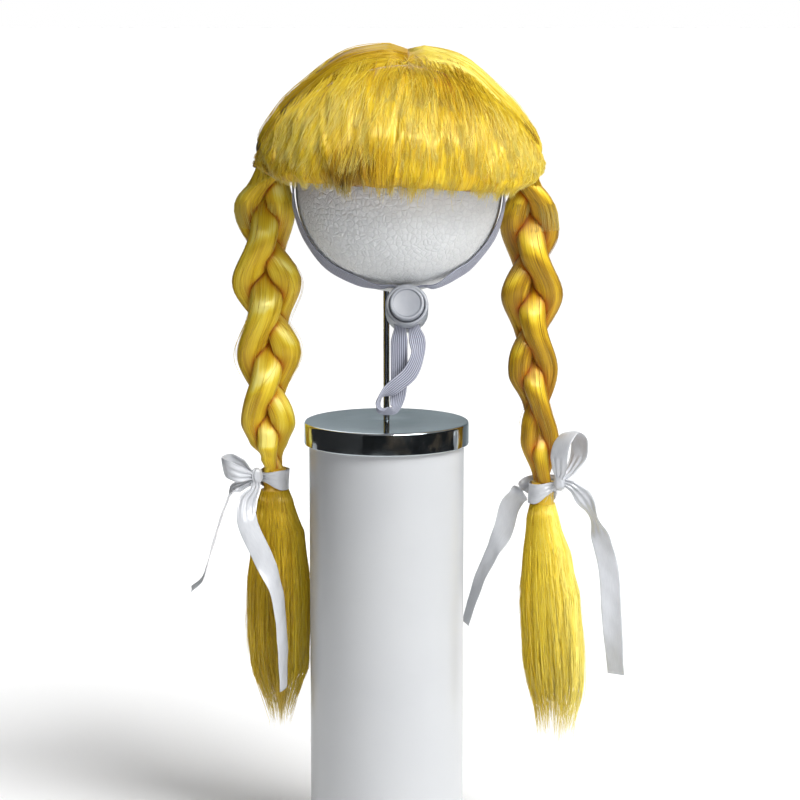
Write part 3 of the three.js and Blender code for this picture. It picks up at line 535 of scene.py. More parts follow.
def fringePoint(side, share, lift=0.0):
    # the fringe's outside: side is -1 at its left end and 1 at its right, and share runs from its root down
    # to its edge along a great arc. The depth table, the locks' relief and a slow wave along each lock lift
    # it, and its lower ends tuck in.
    clear = math.degrees(1.5 * gap / wigHair["inner"])
    middle = np.broadcast_to(onParting(wigHair["rootAngle"] - clear, 0), side.shape + (3,))
    hand = np.where(side < 0, -1, 1)
    ear = direction(hand * (wigHair["gatherFrom"] - clear), wigHair["gatherAngle"])
    root = onArc(middle, ear, np.abs(side))
    lock = np.sqrt(np.abs(np.sin(np.pi * fringe["locks"][0] * (side + 1) / 2)))
    rise = readRows(fringe["edgeRows"], "rise", side) - fringe["tips"] * (lock - 1)
    way = onArc(root, direction(side * fringe["end"], rise), share)
    soft = ridges((side + 1) / 2, share, fringe["locks"], 5) - 1
    relief = wigHair["relief"] * soft * (0.3 + 0.7 * share)
    phase = 2.6 * np.sin(11 * side) + 1.7 * np.sin(29 * side + 1) + 0.8 * np.sin(67 * side + 2)
    wave = fringe["wave"] * np.sin(2 * np.pi * fringe["waves"] * share + phase) * np.clip(4 * share, 0, 1)
    ends = fringe["tuck"] * np.clip((np.abs(side) - 0.75) / 0.25, 0, 1) ** 2 * share ** 2
    deep = (readRows(fringe["downRows"], "deep", share) + relief + wave) * (1 - ends)
    reach = wigHair["inner"] + fringe["depth"] * deep + lift
    return way, reach


def fringeTone(side, share):
    # painted light: lemon where the fringe swells towards the light; painted shade: amber at its root and
    # at its ends, most at the left; amber also in round patches
    tone = readRows(fringe["paintedLightRows"], "tone", share)
    for dark, place, wide, down, high in fringe["patches"]:
        tone -= dark * np.exp(-((side - place) / wide) ** 2 - ((share - down) / high) ** 2)
    tone = tone - fringe["leftEndShade"] * np.clip((-side - 0.62) / 0.38, 0, 1)
    return tone - fringe["rightEndShade"] * np.clip((side - 0.8) / 0.2, 0, 1)


def buildFringe():
    # the fringe's body, as the crown's, drawn back a little at its edge, where the loose tips take over
    share = np.linspace(0, fringe["recess"], fringe["down"])[:, None]
    side = np.linspace(-1, 1, fringe["across"])[None]
    share, side = np.broadcast_arrays(share, side)
    way, reach = fringePoint(side, share)
    tone = fringeTone(side, share) - 0.1
    # painted shade: a small darker, redder spot near the root, right of the middle
    creaseShade = 0.35 * np.exp(-((side - 0.2) / 0.06) ** 2 - ((share - 0.1) / 0.15) ** 2)
    combedShell("fringe", way, reach, tone, creaseShade, 0.5, fringe["size"])
    looseFringe("fringe_hairs_left", -1)
    looseFringe("fringe_hairs_right", 1)


def looseFringe(name, hand):
    # locks of cut hair, laid like shingles: each leaves the skin, runs with the comb and lifts towards its
    # tip, where its hairs draw together; roots are spread down the whole fringe, so tips end at every height
    clumps, each, steps = fringe["clumps"], fringe["hairsEach"], fringe["hairSteps"]
    count = clumps * each
    t = np.linspace(0, 1, steps)
    root = np.sort(rng.uniform(-0.12, 0.74, clumps))
    end = np.minimum(rng.normal(1.0, 0.02, clumps), root + rng.uniform(0.36, 0.72, clumps))
    place = hand * rng.permutation((np.arange(clumps) + rng.uniform(0, 1, clumps)) / clumps)
    comb = fringe["comb"][0 if hand < 0 else 1] * np.sin(np.pi * np.abs(place)) + rng.normal(0, 0.022, clumps)
    curl = rng.normal(0, 0.012, clumps)
    start = np.clip(forHairs(root, each) + rng.uniform(-0.14, 0.1, (count, 1)), 0, 0.9)
    stop = forHairs(end, each) + rng.normal(0, 0.022, (count, 1))
    share = start + np.maximum(stop - start, 0.15) * t
    offset = rng.normal(0, 0.03, (count, 1))
    side = forHairs(place, each) + offset * (1 - 0.62 * t ** 1.3)
    side += forHairs(comb, each) * (share - 0.4) + forHairs(curl, each) * np.sin(3 * t)
    side = np.clip(side + rng.normal(0, 0.006, (count, 1)) * np.sin(7 * t + 40 * offset), -1, 1)
    rise = forHairs(rng.uniform(-0.5, 1.1, clumps), each)
    lift = -1.0 + rng.uniform(-0.4, 0.4, (count, 1)) + (0.9 + rise) * t ** 1.6
    lift += strays(count, fringe["strayEach"]) * rng.uniform(0.3, 1.8, (count, 1)) * t
    way, reach = fringePoint(side, share, lift)
    tone = fringeTone(side.mean(1), share.mean(1)) + rng.normal(0.02, 0.11, count)
    tone += np.repeat(rng.normal(0, 0.075, clumps), each)
    hairsOnBall(name, way, reach, rng.uniform(0.08, 0.22, count), tone)


def flyawayHairs():
    # single thin hairs that have come loose over the fringe: pale, a little lifted, each with its own curl
    draw = np.random.default_rng(31)
    count = fringe["flyaway"]
    t = np.linspace(0, 1, 8)
    start = draw.uniform(0.02, 0.72, (count, 1))
    share = start + draw.uniform(0.16, 0.42, (count, 1)) * t
    place = draw.uniform(-0.97, 0.97, (count, 1))
    comb = np.where(place < 0, *fringe["comb"]) * np.sin(np.pi * np.abs(place))
    comb = comb + draw.normal(0, 0.12, (count, 1))
    size = draw.normal(0, 0.012, (count, 1))
    turns = draw.uniform(3, 8, (count, 1)) * t
    curl = size * np.sin(turns + draw.uniform(0, 6, (count, 1)))
    side = np.clip(place + comb * (share - start) + curl, -1, 1)
    lift = draw.uniform(-0.1, 0.3, (count, 1)) + draw.uniform(0, 1.1, (count, 1)) * np.sin(0.9 * np.pi * t)
    way, reach = fringePoint(side, share, lift)
    tone = fringeTone(side.mean(1), share.mean(1)) + draw.normal(0.2, 0.1, count)
    hairsOnBall("fringe_flyaway_hairs", way, reach, draw.uniform(0.06, 0.13, count), tone)


def bridgeHairs(name, hand):
    # hairs that leave the crown near its front edge, sweep sideways and fall over the fringe's root, so that
    # one runs into the other; some of those beside the parting cross it
    count = crown["bridging"]
    share = 0.84 * rng.random(count) ** 1.3
    over = np.where((share < 0.1) & (rng.random(count) < 0.6), -1, 1)
    behind = rng.uniform(0.03, 0.15, count)
    fall = rng.uniform(0.5, 1.25, count)
    lift = rng.uniform(-0.3, 0.7, count)
    stops = [crownPoint(hand, behind * back, np.maximum(share + drift * over, 0), lift - sunk)
             for back, drift, sunk in ((1, 0, 0.6), (0.4, 0.05, 0))]
    stops += [fringePoint(hand * np.minimum(share + drift * fall * over, 1), down * fall, lift + 0.2)
              for down, drift in ((0.07, 0.09), (0.25, 0.115), (0.46, 0.13))]
    places = [ballCentre + way * reach[:, None] for way, reach in stops]
    paths = bend(np.stack(places, 1), crown["bridgeSteps"])
    away = bend(np.stack([way for way, _ in stops], 1), crown["bridgeSteps"])
    tone = fringeTone(hand * share, 0.2 + 0 * share) + rng.normal(0.04, 0.09, count)
    hairTubes(name, paths, away, rng.uniform(0.09, 0.2, count), tone, loose)


buildCrown("crown_left", -1)
buildCrown("crown_right", 1)
buildFringe()
bridgeHairs("crown_left_bridging", -1)
bridgeHairs("crown_right_bridging", 1)
flyawayHairs()
print("crown and fringe made")


# braids and tails

plait = {
    "radius": 8.1, "swing": 8, "depth": 7, "turn": 32, "press": 0.35, "sides": 64, "rings": 190,
    # pressShadeFade is how far the painted shade beside a pressing strand fades; pale is the strength of the
    # painted highlight
    "locks": (6, 15, 27), "around": 48, "tieHeight": 11, "tuck": 7, "tuckShare": 0.1, "pressShadeFade": 1.8,
    "pale": 0.42, "hairs": 64, "hairSteps": 24, "strays": 27, "gathered": 420,
}
# tone, tailTone and tailLit are painted light and shade: the two sides' tones differ to match how light falls
# on them, and tailLit paints each tail lighter on its +X side
leftSide = {
    "name": "left", "hand": -1, "length": 147, "crossing": 35.7, "firstNeck": 36.4, "out": 64.5, "behind": 14,
    "tail": 113, "tailHalf": 16, "tone": 0.6, "tailTone": 0.54, "tailLit": 0.06, "knot": (8.6, 7.2, 2.6),
    "rows": {"at": [0, 0.13, 0.39, 0.57, 0.73, 0.84, 0.92, 0.965, 1],
             "out": [1.01, 1.01, 1.005, 0.99, 1.01, 1.005, 1.005, 0.985, 0.96],
             "behind": [0.36, 0.4, 0.6, 0.7, 0.76, 0.8, 0.84, 0.86, 0.86],
             "full": [0.84, 0.86, 1, 0.92, 0.89, 0.8, 0.66, 0.48, 0.4]},
    "tailRows": {"at": [0, 0.06, 0.22, 0.44, 0.62, 0.8, 0.91, 1],
                 "out": [0.957, 0.955, 0.937, 0.94, 0.942, 0.935, 0.935, 0.933],
                 "half": [0.42, 0.55, 0.84, 0.98, 1, 0.93, 0.68, 0.34]},
}
rightSide = {
    "name": "right", "hand": 1, "length": 154, "crossing": 36.4, "firstNeck": 43.6, "out": 71.5, "behind": 14,
    "tail": 113, "tailHalf": 15.2, "tone": 0.31, "tailTone": 0.77, "tailLit": 0.2, "knot": (8, 7.4, 6.8),
    "rows": {"at": [0, 0.13, 0.25, 0.38, 0.52, 0.65, 0.76, 0.86, 1],
             "out": [0.885, 0.885, 0.9, 0.912, 0.912, 0.925, 0.955, 0.975, 0.995],
             "behind": [0.36, 0.4, 0.6, 0.64, 0.7, 0.72, 0.78, 0.8, 0.86],
             "full": [0.8, 0.82, 0.88, 0.9, 0.76, 0.72, 0.62, 0.56, 0.4]},
    "tailRows": {"at": [0, 0.08, 0.26, 0.44, 0.67, 0.82, 0.92, 1],
                 "out": [1, 1.003, 1.035, 1.055, 1.08, 1.1, 1.11, 1.1],
                 "half": [0.4, 0.53, 0.82, 1, 1.02, 0.96, 0.82, 0.62]},
}
braidTop = ballCentre[2] + wigHair["inner"] * math.sin(math.radians(wigHair["gatherAngle"])) - gap


def strandMiddle(side, strand, share):
    # a strand's middle on a figure of eight, a third of a turn behind the strand before it
    down = share * side["length"]
    angle = np.radians(120) * ((down - side["firstNeck"]) / side["crossing"] + strand)
    tuck = np.clip(1 - share / plait["tuckShare"], 0, 1) ** 2
    hidden = np.clip((0.045 - share) / 0.075, 0, 1)
    full = readRows(side["rows"], "full", share) * (1 - 0.2 * tuck) * (1 - 0.5 * hidden ** 2)
    a = full * plait["swing"] * np.sin(angle)
    b = -full * plait["depth"] * np.sin(2 * angle)
    turn = math.radians(plait["turn"])
    x = ballCentre[0] + side["hand"] * (side["out"] * readRows(side["rows"], "out", share)
                                        - plait["tuck"] * tuck - (a * math.cos(turn) - b * math.sin(turn)))
    y = side["behind"] * readRows(side["rows"], "behind", share) + a * math.sin(turn) + b * math.cos(turn)
    return np.stack([x, y, braidTop - down], -1), full * plait["radius"]


def strandSkin(side, strand, share, turn):
    # how far a strand reaches at an angle of a level slice: its own radius, or a little past half-way to a
    # strand beside it, blended softly. The last value is 1 where its skin touches such a strand, and fades.
    middle, radius = strandMiddle(side, strand, share)
    others = [strandMiddle(side, (strand + step) % 3, share)[0] - middle for step in (1, 2)]
    reach = radius ** -8.0
    for other in others:
        apart = np.hypot(other[..., 0], other[..., 1])
        facing = (np.cos(turn) * other[..., 0] + np.sin(turn) * other[..., 1]) / apart
        half = (apart / 2 + plait["press"]) / np.maximum(facing, 0.05)
        reach = reach + half ** -8.0
    reach = reach ** (-1 / 8)
    away = [np.hypot(np.cos(turn) * reach - other[..., 0], np.sin(turn) * reach - other[..., 1]) - radius
            for other in others]
    return middle, reach, np.exp(-np.maximum(np.minimum(*away), 0) / plait["pressShadeFade"])


def skinPoint(side, strand, share, turn, lift=0.0):
    middle, reach, pressed = strandSkin(side, strand, share, turn)
    reach = reach + lift
    across = np.stack([np.cos(turn) * reach, np.sin(turn) * reach, 0 * reach], -1)
    return middle + across, pressed, across


def buildBraid(side):
    # three strands as rings of strandSkin, with a painted highlight where the hair leans out towards the
    # light and painted shade where strands press, and loose hairs that run along their skins
    for strand in range(3):
        share = np.linspace(-0.03, 1.03, plait["rings"])[:, None]
        turn = np.linspace(0, 2 * np.pi, plait["sides"], endpoint=False)[None]
        share, turn = np.broadcast_arrays(share, turn)
        lockTurn = turn / (2 * np.pi) + 0.06 * share * side["hand"]
        relief = -0.36 * (1 - ridges(lockTurn, share, plait["locks"], 20 + strand, 0.35))
        points, pressed, across = skinPoint(side, strand, share, turn, relief)
        # painted highlight: paler where a strand leans out towards the light, on its front and back, but not
        # where it presses on another
        lean = (unit(np.gradient(points, axis=0)) * unit(across)).sum(-1)
        paintedSheen = np.exp(-((lean - 0.3) / 0.26) ** 2) * np.abs(np.sin(turn)) * (1 - pressed)
        slot = f"braid_{side['name']}_strand_{strand + 1}"
        tone = side["tone"] + 0.08 * np.sin(5 * turn + 3 * strand) + 0.05 * np.sin(14 * share + strand)
        # painted shade: darker and redder where the strand presses against another
        fields = {"tone": tone - 0.1 * pressed + plait["pale"] * paintedSheen, "creaseShade": 0.8 * pressed}
        around = np.linspace(0, plait["around"], plait["sides"] + 1)
        flow = (around, np.linspace(0, side["length"] * 1.06, plait["rings"]))
        sweep(slot + "_combed", points, combed, (slot,), fields, "fan", flow)

    paths, aways, tones = [], [], []
    for strand in range(3):
        count, steps = plait["hairs"], plait["hairSteps"]
        t = np.linspace(0, 1, steps)
        root = rng.uniform(-0.02, 0.75, count)
        end = np.minimum(1.02, root + rng.uniform(0.2, 0.5, count))
        share = root[:, None] + (end - root)[:, None] * t
        stray = (np.arange(count) < plait["strays"] / 3)[:, None]
        turn = rng.uniform(0, 2 * np.pi, (count, 1)) + rng.normal(0, 0.25, (count, 1)) * t * (1 + 3 * stray)
        lift = rng.uniform(-0.25, 0.15, (count, 1))
        lift = lift + stray * rng.uniform(0.3, 2, (count, 1)) * np.sin(2.6 * t)
        points, pressed, across = skinPoint(side, strand, share, turn, lift)
        paths.append(points)
        aways.append(across)
        # painted shade: loose hairs are darker where they lie over pressing strands
        tones.append(side["tone"] + rng.normal(0.06, 0.1, count) - 0.2 * pressed.mean(1))
    count = 3 * plait["hairs"]
    hairTubes(f"braid_{side['name']}_hairs", np.concatenate(paths), np.concatenate(aways),
              rng.uniform(0.07, 0.16, count), np.concatenate(tones), loose)
    gatherHairs(side)


def gatherHairs(side):
    # hair that leaves the crown over its rim, draws together and runs down on the braid's first strands
    hand, count = side["hand"], plait["gathered"]
    back = rng.uniform(-0.01, 0.98, count)
    lift = rng.uniform(-0.2, 0.5, count)
    rows = [crownPoint(hand, back, np.full(count, share), lift) for share in (0.7, 0.85, 0.96)]
    onCrown = [ballCentre + way * reach[:, None] for way, reach in rows]
    strand = rng.integers(0, 3, count)
    outward = 0 if hand > 0 else math.pi
    turn = outward + hand * (back - 0.5) * math.pi + rng.normal(0, 0.4, count)
    onBraid = []
    for share in (0.035, 0.11, 0.19):
        places = np.empty((count, 3))
        for k in range(3):
            picked = strand == k
            points, _, _ = skinPoint(side, k, np.full(picked.sum(), share), turn[picked], lift[picked])
            places[picked] = points
        onBraid.append(places)
    paths = bend(np.stack(onCrown + onBraid, 1), 15)
    middle, _ = strandMiddle(side, 0, np.array([0.05]))
    away = unit(paths - np.array([ballCentre[0], middle[0, 1], ballCentre[2]]))
    tone = side["tone"] + rng.normal(0.02, 0.13, count)
    hairTubes(f"gathered_{side['name']}_hairs", paths, away, rng.uniform(0.1, 0.22, count), tone, loose)


tails = {"neck": 5.6, "flat": 0.62, "groove": 0.11, "points": 0.1, "locks": 5, "sides": 120, "rings": 60,
         "hairs": 2800, "hairSteps": 9}


def tieCentre(side):
    low, high = nodeBox(f"bow_{side['name']}_band")
    return (low + high) / 2


def tailPoint(side, turn, share, reachShare):
    # the loose tail's outside: an oval that follows its table, grooved between its locks
    tie = tieCentre(side)
    lock = np.sqrt(np.abs(np.sin(np.pi * (tails["locks"] * turn / (2 * np.pi) + 0.5)))) - 1
    fine = ridges(turn / (2 * np.pi), share, (11, 29), 9, 0.5) - 1
    opened = np.clip(share * 4, 0, 1)
    half = side["tailHalf"] * readRows(side["tailRows"], "half", share)
    reach = half * (1 + tails["groove"] * lock * opened + 0.07 * fine * opened) * reachShare
    flat = 1 + (tails["flat"] - 1) * opened
    x = ballCentre[0] + side["hand"] * side["out"] * readRows(side["tailRows"], "out", share)
    y = tie[1] + (side["behind"] - tie[1]) * share
    z = tie[2] - plait["tieHeight"] / 2 - share * side["tail"]
    z = z - tails["points"] * side["tail"] * np.clip(share - 0.75, 0, None) * 4 * lock
    return np.stack([x + reach * np.cos(turn), y + reach * flat * np.sin(turn), z], -1)


def buildTail(side):
    # the bundle, from inside the tie down to where only tips are left, and its loose hairs
    share = np.linspace(0, 0.84, tails["rings"])[:, None]
    turn = np.linspace(0, 2 * np.pi, tails["sides"], endpoint=False)[None]
    share, turn = np.broadcast_arrays(share, turn)
    thin = 0.97 - 0.62 * np.clip((share - 0.4) / 0.44, 0, 1) ** 1.3
    bundle = tailPoint(side, turn, share, thin)
    tie = tieCentre(side)
    neckHeights = np.array([1, 0.4, -0.4, -0.9])[:, None] * plait["tieHeight"] / 2
    ring = turn[:4]
    neck = np.stack([tie[0] + tails["neck"] * np.cos(ring), tie[1] + tails["neck"] * np.sin(ring),
                     tie[2] + neckHeights + 0 * ring], -1)
    rings = np.concatenate([neck, bundle], 0)
    # painted light: lighter on the tail's +X side; painted shade: darker and redder at the neck under the tie
    tone = side["tailTone"] - 0.04 + side["tailLit"] * np.cos(turn) + 0 * share
    tone = np.concatenate([tone[:4], tone])
    creaseShade = np.concatenate([0.3 + 0 * ring, 0.3 * np.clip(1 - share * 8, 0, 1)])
    flow = (np.linspace(0, 75, tails["sides"] + 1), np.linspace(-11, side["tail"] * 0.9, len(rings)))
    sweep(f"tail_{side['name']}_combed", rings, combed, (f"tail_{side['name']}",),
          {"tone": tone, "creaseShade": creaseShade}, "fan", flow)

    # straight hairs of many lengths over and inside the bundle: the longest make the tips
    count, steps = tails["hairs"], tails["hairSteps"]
    t = np.linspace(0, 1, steps)
    root = np.clip(rng.uniform(-0.4, 0.62, count), 0, 1)
    end = np.minimum(1.09 - rng.random(count) ** 1.3 * 0.33, root + rng.uniform(0.4, 1.0, count))
    share = root[:, None] + (end - root)[:, None] * t
    turn = rng.uniform(0, 2 * np.pi, (count, 1)) + rng.normal(0, 0.16, (count, 1)) * t
    deepness = rng.random((count, 1)) ** 2.6
    inward = 1.02 - deepness * np.clip(share - 0.1, 0, 1) * 0.8 + rng.normal(0, 0.05, (count, 1)) * t ** 2
    paths = tailPoint(side, turn, np.minimum(share, 1), inward)
    paths[..., 2] -= np.maximum(share - 1, 0) * side["tail"]
    away = np.stack([np.cos(turn) + 0 * t, np.sin(turn) + 0 * t, 0 * turn + 0 * t], -1)
    # painted light: lighter on the +X side, as on the bundle
    tone = side["tailTone"] + side["tailLit"] * np.cos(turn[:, 0]) + rng.normal(0.04, 0.09, count)
    hairTubes(f"tail_{side['name']}_hairs", paths, away, rng.uniform(0.09, 0.22, count), tone, loose)


for side in (leftSide, rightSide):
    buildBraid(side)
    buildTail(side)
print("braids and tails made")


# ribbons

satinFinish = {"color": "D0D2D6", "shade": "B9BCC2", "float": (0.5, 4.5), "roughness": 0.3, "anisotropy": 0.6}


def wovenSatin(finish):
    # Polyester satin ribbon, woven with long floats: the warp lies almost unbroken along it, so its highlight
    # stretches across and it looks wet beside the matt elastic. Floats of 0.25 mm are drawn 0.5 mm wide.
    m = newMaterial("polyesterSatin")
    uv = addNode(m, "UVMap", uv_map="flow")
    wide, long = finish["float"]
    threads = addNode(m, "Mapping", {"Vector": uv, "Scale": (1 / wide, 1 / long, 1)})
    warp = addNode(m, "TexNoise", {"Vector": threads, "Scale": 1, "Detail": 2, "Roughness": 0.6})
    color = addNode(m, "Mix", {"Factor": warp, 6: linearColor(finish["color"]),
                               7: linearColor(finish["shade"])}, data_type="RGBA")
    bump = addNode(m, "Bump", {"Strength": 0.25, "Distance": 0.0001, "Height": warp})
    tangent = addNode(m, "Tangent", direction_type="UV_MAP", uv_map="flow")
    return finishMaterial(m, Base_Color=color.outputs[2], Roughness=finish["roughness"], IOR=1.5,
                          Anisotropic=finish["anisotropy"], Tangent=tangent, Normal=bump,
                          Sheen_Weight=0.25, Sheen_Roughness=0.4)


satin = wovenSatin(satinFinish)
ribbon = {"wide": 10, "thick": 0.34, "pleats": 3, "pleatHigh": 0.3, "curl": 0.5, "sections": 26,
          "least": 0.42, "knot": (3.3, 2.7, 4.2), "bandSize": (20, 44)}


def stripRings(rows, steps, thick, sections, shape):
    # a thin section carried along a smooth curve through its rows. Each row has its place, the way its width
    # points, and its width; shape(across, wide, along) gives how far the cloth stands off its flat middle.
    path = smoothPath([row[0] for row in rows], steps)
    t = np.linspace(0, len(rows) - 1, steps + 1)
    k = np.minimum(t.astype(int), len(rows) - 2)
    share = (t - k)[:, None]
    soft = share * share * (3 - 2 * share)
    ways = unit(np.array([row[1] for row in rows], float))
    wides = np.array([row[2] for row in rows], float)
    along = unit(np.gradient(path, axis=0))
    across = ways[k] * (1 - soft) + ways[k + 1] * soft
    across = unit(across - (across * along).sum(1, keepdims=True) * along)
    face = np.cross(along, across)
    wide = wides[k][:, None] * (1 - soft) + wides[k + 1][:, None] * soft
    length = np.concatenate([[0], np.cumsum(np.linalg.norm(np.diff(path, axis=0), axis=1))])
    s = np.linspace(-1, 1, sections)[None]
    off = shape(s, wide, length[:, None])
    edge = thick / 2 * np.clip((1 - s ** 8), 0.25, 1)
    middle = path[:, None] + across[:, None] * (s * wide / 2)[..., None]
    front = middle + face[:, None] * (off + edge)[..., None]
    back = middle + face[:, None] * (off - edge)[..., None]
    places = np.linspace(0, 10, sections)
    flow = (np.concatenate([places, places[::-1], places[:1]]), length)
    return np.concatenate([front, back[:, ::-1]], 1), flow, length[-1]


def satinShape(s, wide, length):
    # cloth that is gathered narrower than it was cut stands up in soft pleats; all of it cups a bit and waves
    narrow = np.clip(wide / ribbon["wide"], 0.05, 1)
    pleat = ribbon["pleatHigh"] * ribbon["wide"] / ribbon["pleats"] / 2 * np.sqrt(1 - narrow ** 2)
    wave = 0.16 * np.sin(length / 7 + 2 * s) + 0.1 * np.sin(length / 2.3 - 3 * s)
    return pleat * np.sin(np.pi * ribbon["pleats"] * s) + ribbon["curl"] * (s ** 2 - 0.4) * narrow + wave


def buildRibbon(name, side, reach, rows, steps):
    # a ribbon that comes out of the bow's knot: its rows are shares of its reach, out, front and up
    knot = knotPlace(side)
    hand = side["hand"]
    placed = [(knot + np.array([hand * out, -front, up]) * reach, (hand * way[0], -way[1], way[2]),
               ribbon["wide"] * max(wide, ribbon["least"])) for out, front, up, way, wide in rows]
    rings, flow, length = stripRings(placed, steps, ribbon["thick"], ribbon["sections"], satinShape)
    piece = sweep(name + "_satin", rings, satin, (name,), None, "strip", flow)
    print("  ribbon", name, round(length, 1), "mm long")


def knotPlace(side):
    out, front, up = side["knot"]
    return tieCentre(side) + np.array([side["hand"] * out, -front, up])


def buildBandAndKnot(side):
    # the band: a ring of ribbon round the hair, full behind and pinched into pleats towards its knot
    centre = tieCentre(side)
    name = f"bow_{side['name']}"
    low, high = nodeBox(name + "_band")
    radius = (high[0] - low[0]) / 2 - 0.15
    knot = knotPlace(side)
    towards = math.atan2(knot[1] - centre[1], knot[0] - centre[0])
    around = np.linspace(0, 2 * np.pi, 90, endpoint=False)
    near = np.cos(around - towards)
    wide = ribbon["wide"] * (1 - 0.52 * np.clip(near, 0, 1) ** 2)
    s = np.linspace(-1, 1, 22)[None]
    rise = (knot[2] - centre[2]) * 0.55 * np.clip(near, 0, 1)[:, None] ** 2
    off = satinShape(s, wide[:, None], around[:, None] * radius) * 0.45
    off = off + 0.25 * np.sin(3 * around[:, None] + 2 * s)
    outward = np.stack([np.cos(around), np.sin(around), 0 * around], -1)
    rings = []
    for sign in (1, -1):
        reach = radius + off * 0.8 + sign * ribbon["thick"] / 2
        grid = centre + outward[:, None] * reach[..., None]
        grid[..., 2] += s * wide[:, None] / 2 + rise
        rings.append(grid if sign > 0 else grid[:, ::-1])
    rings = np.concatenate(rings, 1)
    loopedRing(name + "_band_satin", rings, satin, (name + "_band",), ribbon["bandSize"])

    # the knot: a turn of ribbon drawn tight over the band, so its folds run up and down over a flattened lump
    theta = np.linspace(0, np.pi, 40)[1:-1][:, None]
    phi = np.linspace(0, 2 * np.pi, 72, endpoint=False)[None]
    across, out, up = ribbon["knot"]
    x = np.sin(theta) * np.cos(phi)
    y = np.sin(theta) * np.sin(phi)
    z = np.cos(theta) + 0 * phi
    waist = 1 - 0.2 * (1 - z ** 2) ** 2
    fold = 0.5 * np.cos(11 * x + 1.4 * z) * np.sqrt(np.clip(1 - x ** 2, 0, 1))
    local = np.stack([x * across * waist, y * out + fold * np.sign(y) * np.abs(y) ** 0.5, z * up], -1)
    turn = math.atan2(knot[0] - centre[0], centre[1] - knot[1])
    spin = np.array([[math.cos(turn), math.sin(turn), 0], [-math.sin(turn), math.cos(turn), 0], [0, 0, 1]])
    sweep(name + "_knot_satin", knot + local @ spin, satin, (name + "_knot",), None, "fan",
          (np.linspace(0, 24, 73), np.linspace(0, 14, 38)))


def loopedRing(name, rings, material, replaced, size):
    # as sweep, for a section that is carried right round and joins its own start; size is the pattern's
    count, sides = rings.shape[:2]
    i, j = np.divmod(np.arange(count * sides), sides)
    u = np.stack([j, j + 1, j + 1, j], -1) * (size[0] / sides)
    v = np.stack([i, i, i + 1, i + 1], -1) * (size[1] / count)
    faces = gridFaces(count, sides, True)
    return makePiece(name, rings, [faces], material, replaced, uv=[np.stack([u, v], -1)])


def buildLeftBow():
    buildBandAndKnot(leftSide)
    buildRibbon("bow_left_loop", leftSide, 17, [
        (0.12, 0.06, 0.02, (0, 0.1, 1), 0.35), (0.5, 0.3, 0.1, (0, 0.15, 1), 0.85),
        (0.86, 0.22, 0.24, (0.1, 0.2, 1), 1), (0.98, -0.08, 0.26, (0.15, 0.1, 1), 1),
        (0.78, -0.36, 0.3, (0.25, 0, 1), 1), (0.48, -0.3, 0.24, (0.15, 0, 1), 0.8),
        (0.14, -0.1, 0.03, (0, 0, 1), 0.3)], 70)
    buildRibbon("bow_left_tail_outer", leftSide, 66, [
        (0.035, -0.01, -0.035, (0.6, 0, -0.6), 0.3), (0.11, -0.01, -0.075, (0.4, 0.4, -0.8), 0.5),
        (0.18, 0.01, -0.11, (0.3, 0.8, -0.6), 0.8), (0.24, 0.05, -0.24, (0.1, 1, 0), 1),
        (0.3, 0.06, -0.42, (0.05, 1, 0), 1), (0.36, 0.05, -0.62, (-0.05, 1, 0), 1),
        (0.41, 0.03, -0.78, (-0.08, 1, 0), 1), (0.5, 0.02, -0.87, (-0.1, 1, 0), 1)], 90)
    buildRibbon("bow_left_tail_inner", leftSide, 106, [
        (0, 0.01, -0.02, (1, 0, 0.1), 0.3), (0.01, 0.035, -0.06, (1, 0, 0.3), 0.5),
        (0.04, 0.055, -0.11, (1, 0.05, 0.2), 0.85), (0.04, 0.09, -0.2, (1, 0.1, 0), 1),
        (-0.03, 0.11, -0.36, (1, 0.2, 0), 1), (-0.095, 0.12, -0.52, (0.6, 0.8, 0), 1),
        (-0.12, 0.11, -0.72, (0.45, 0.9, 0), 1), (-0.125, 0.09, -1, (0.35, 0.95, 0), 1)], 110)


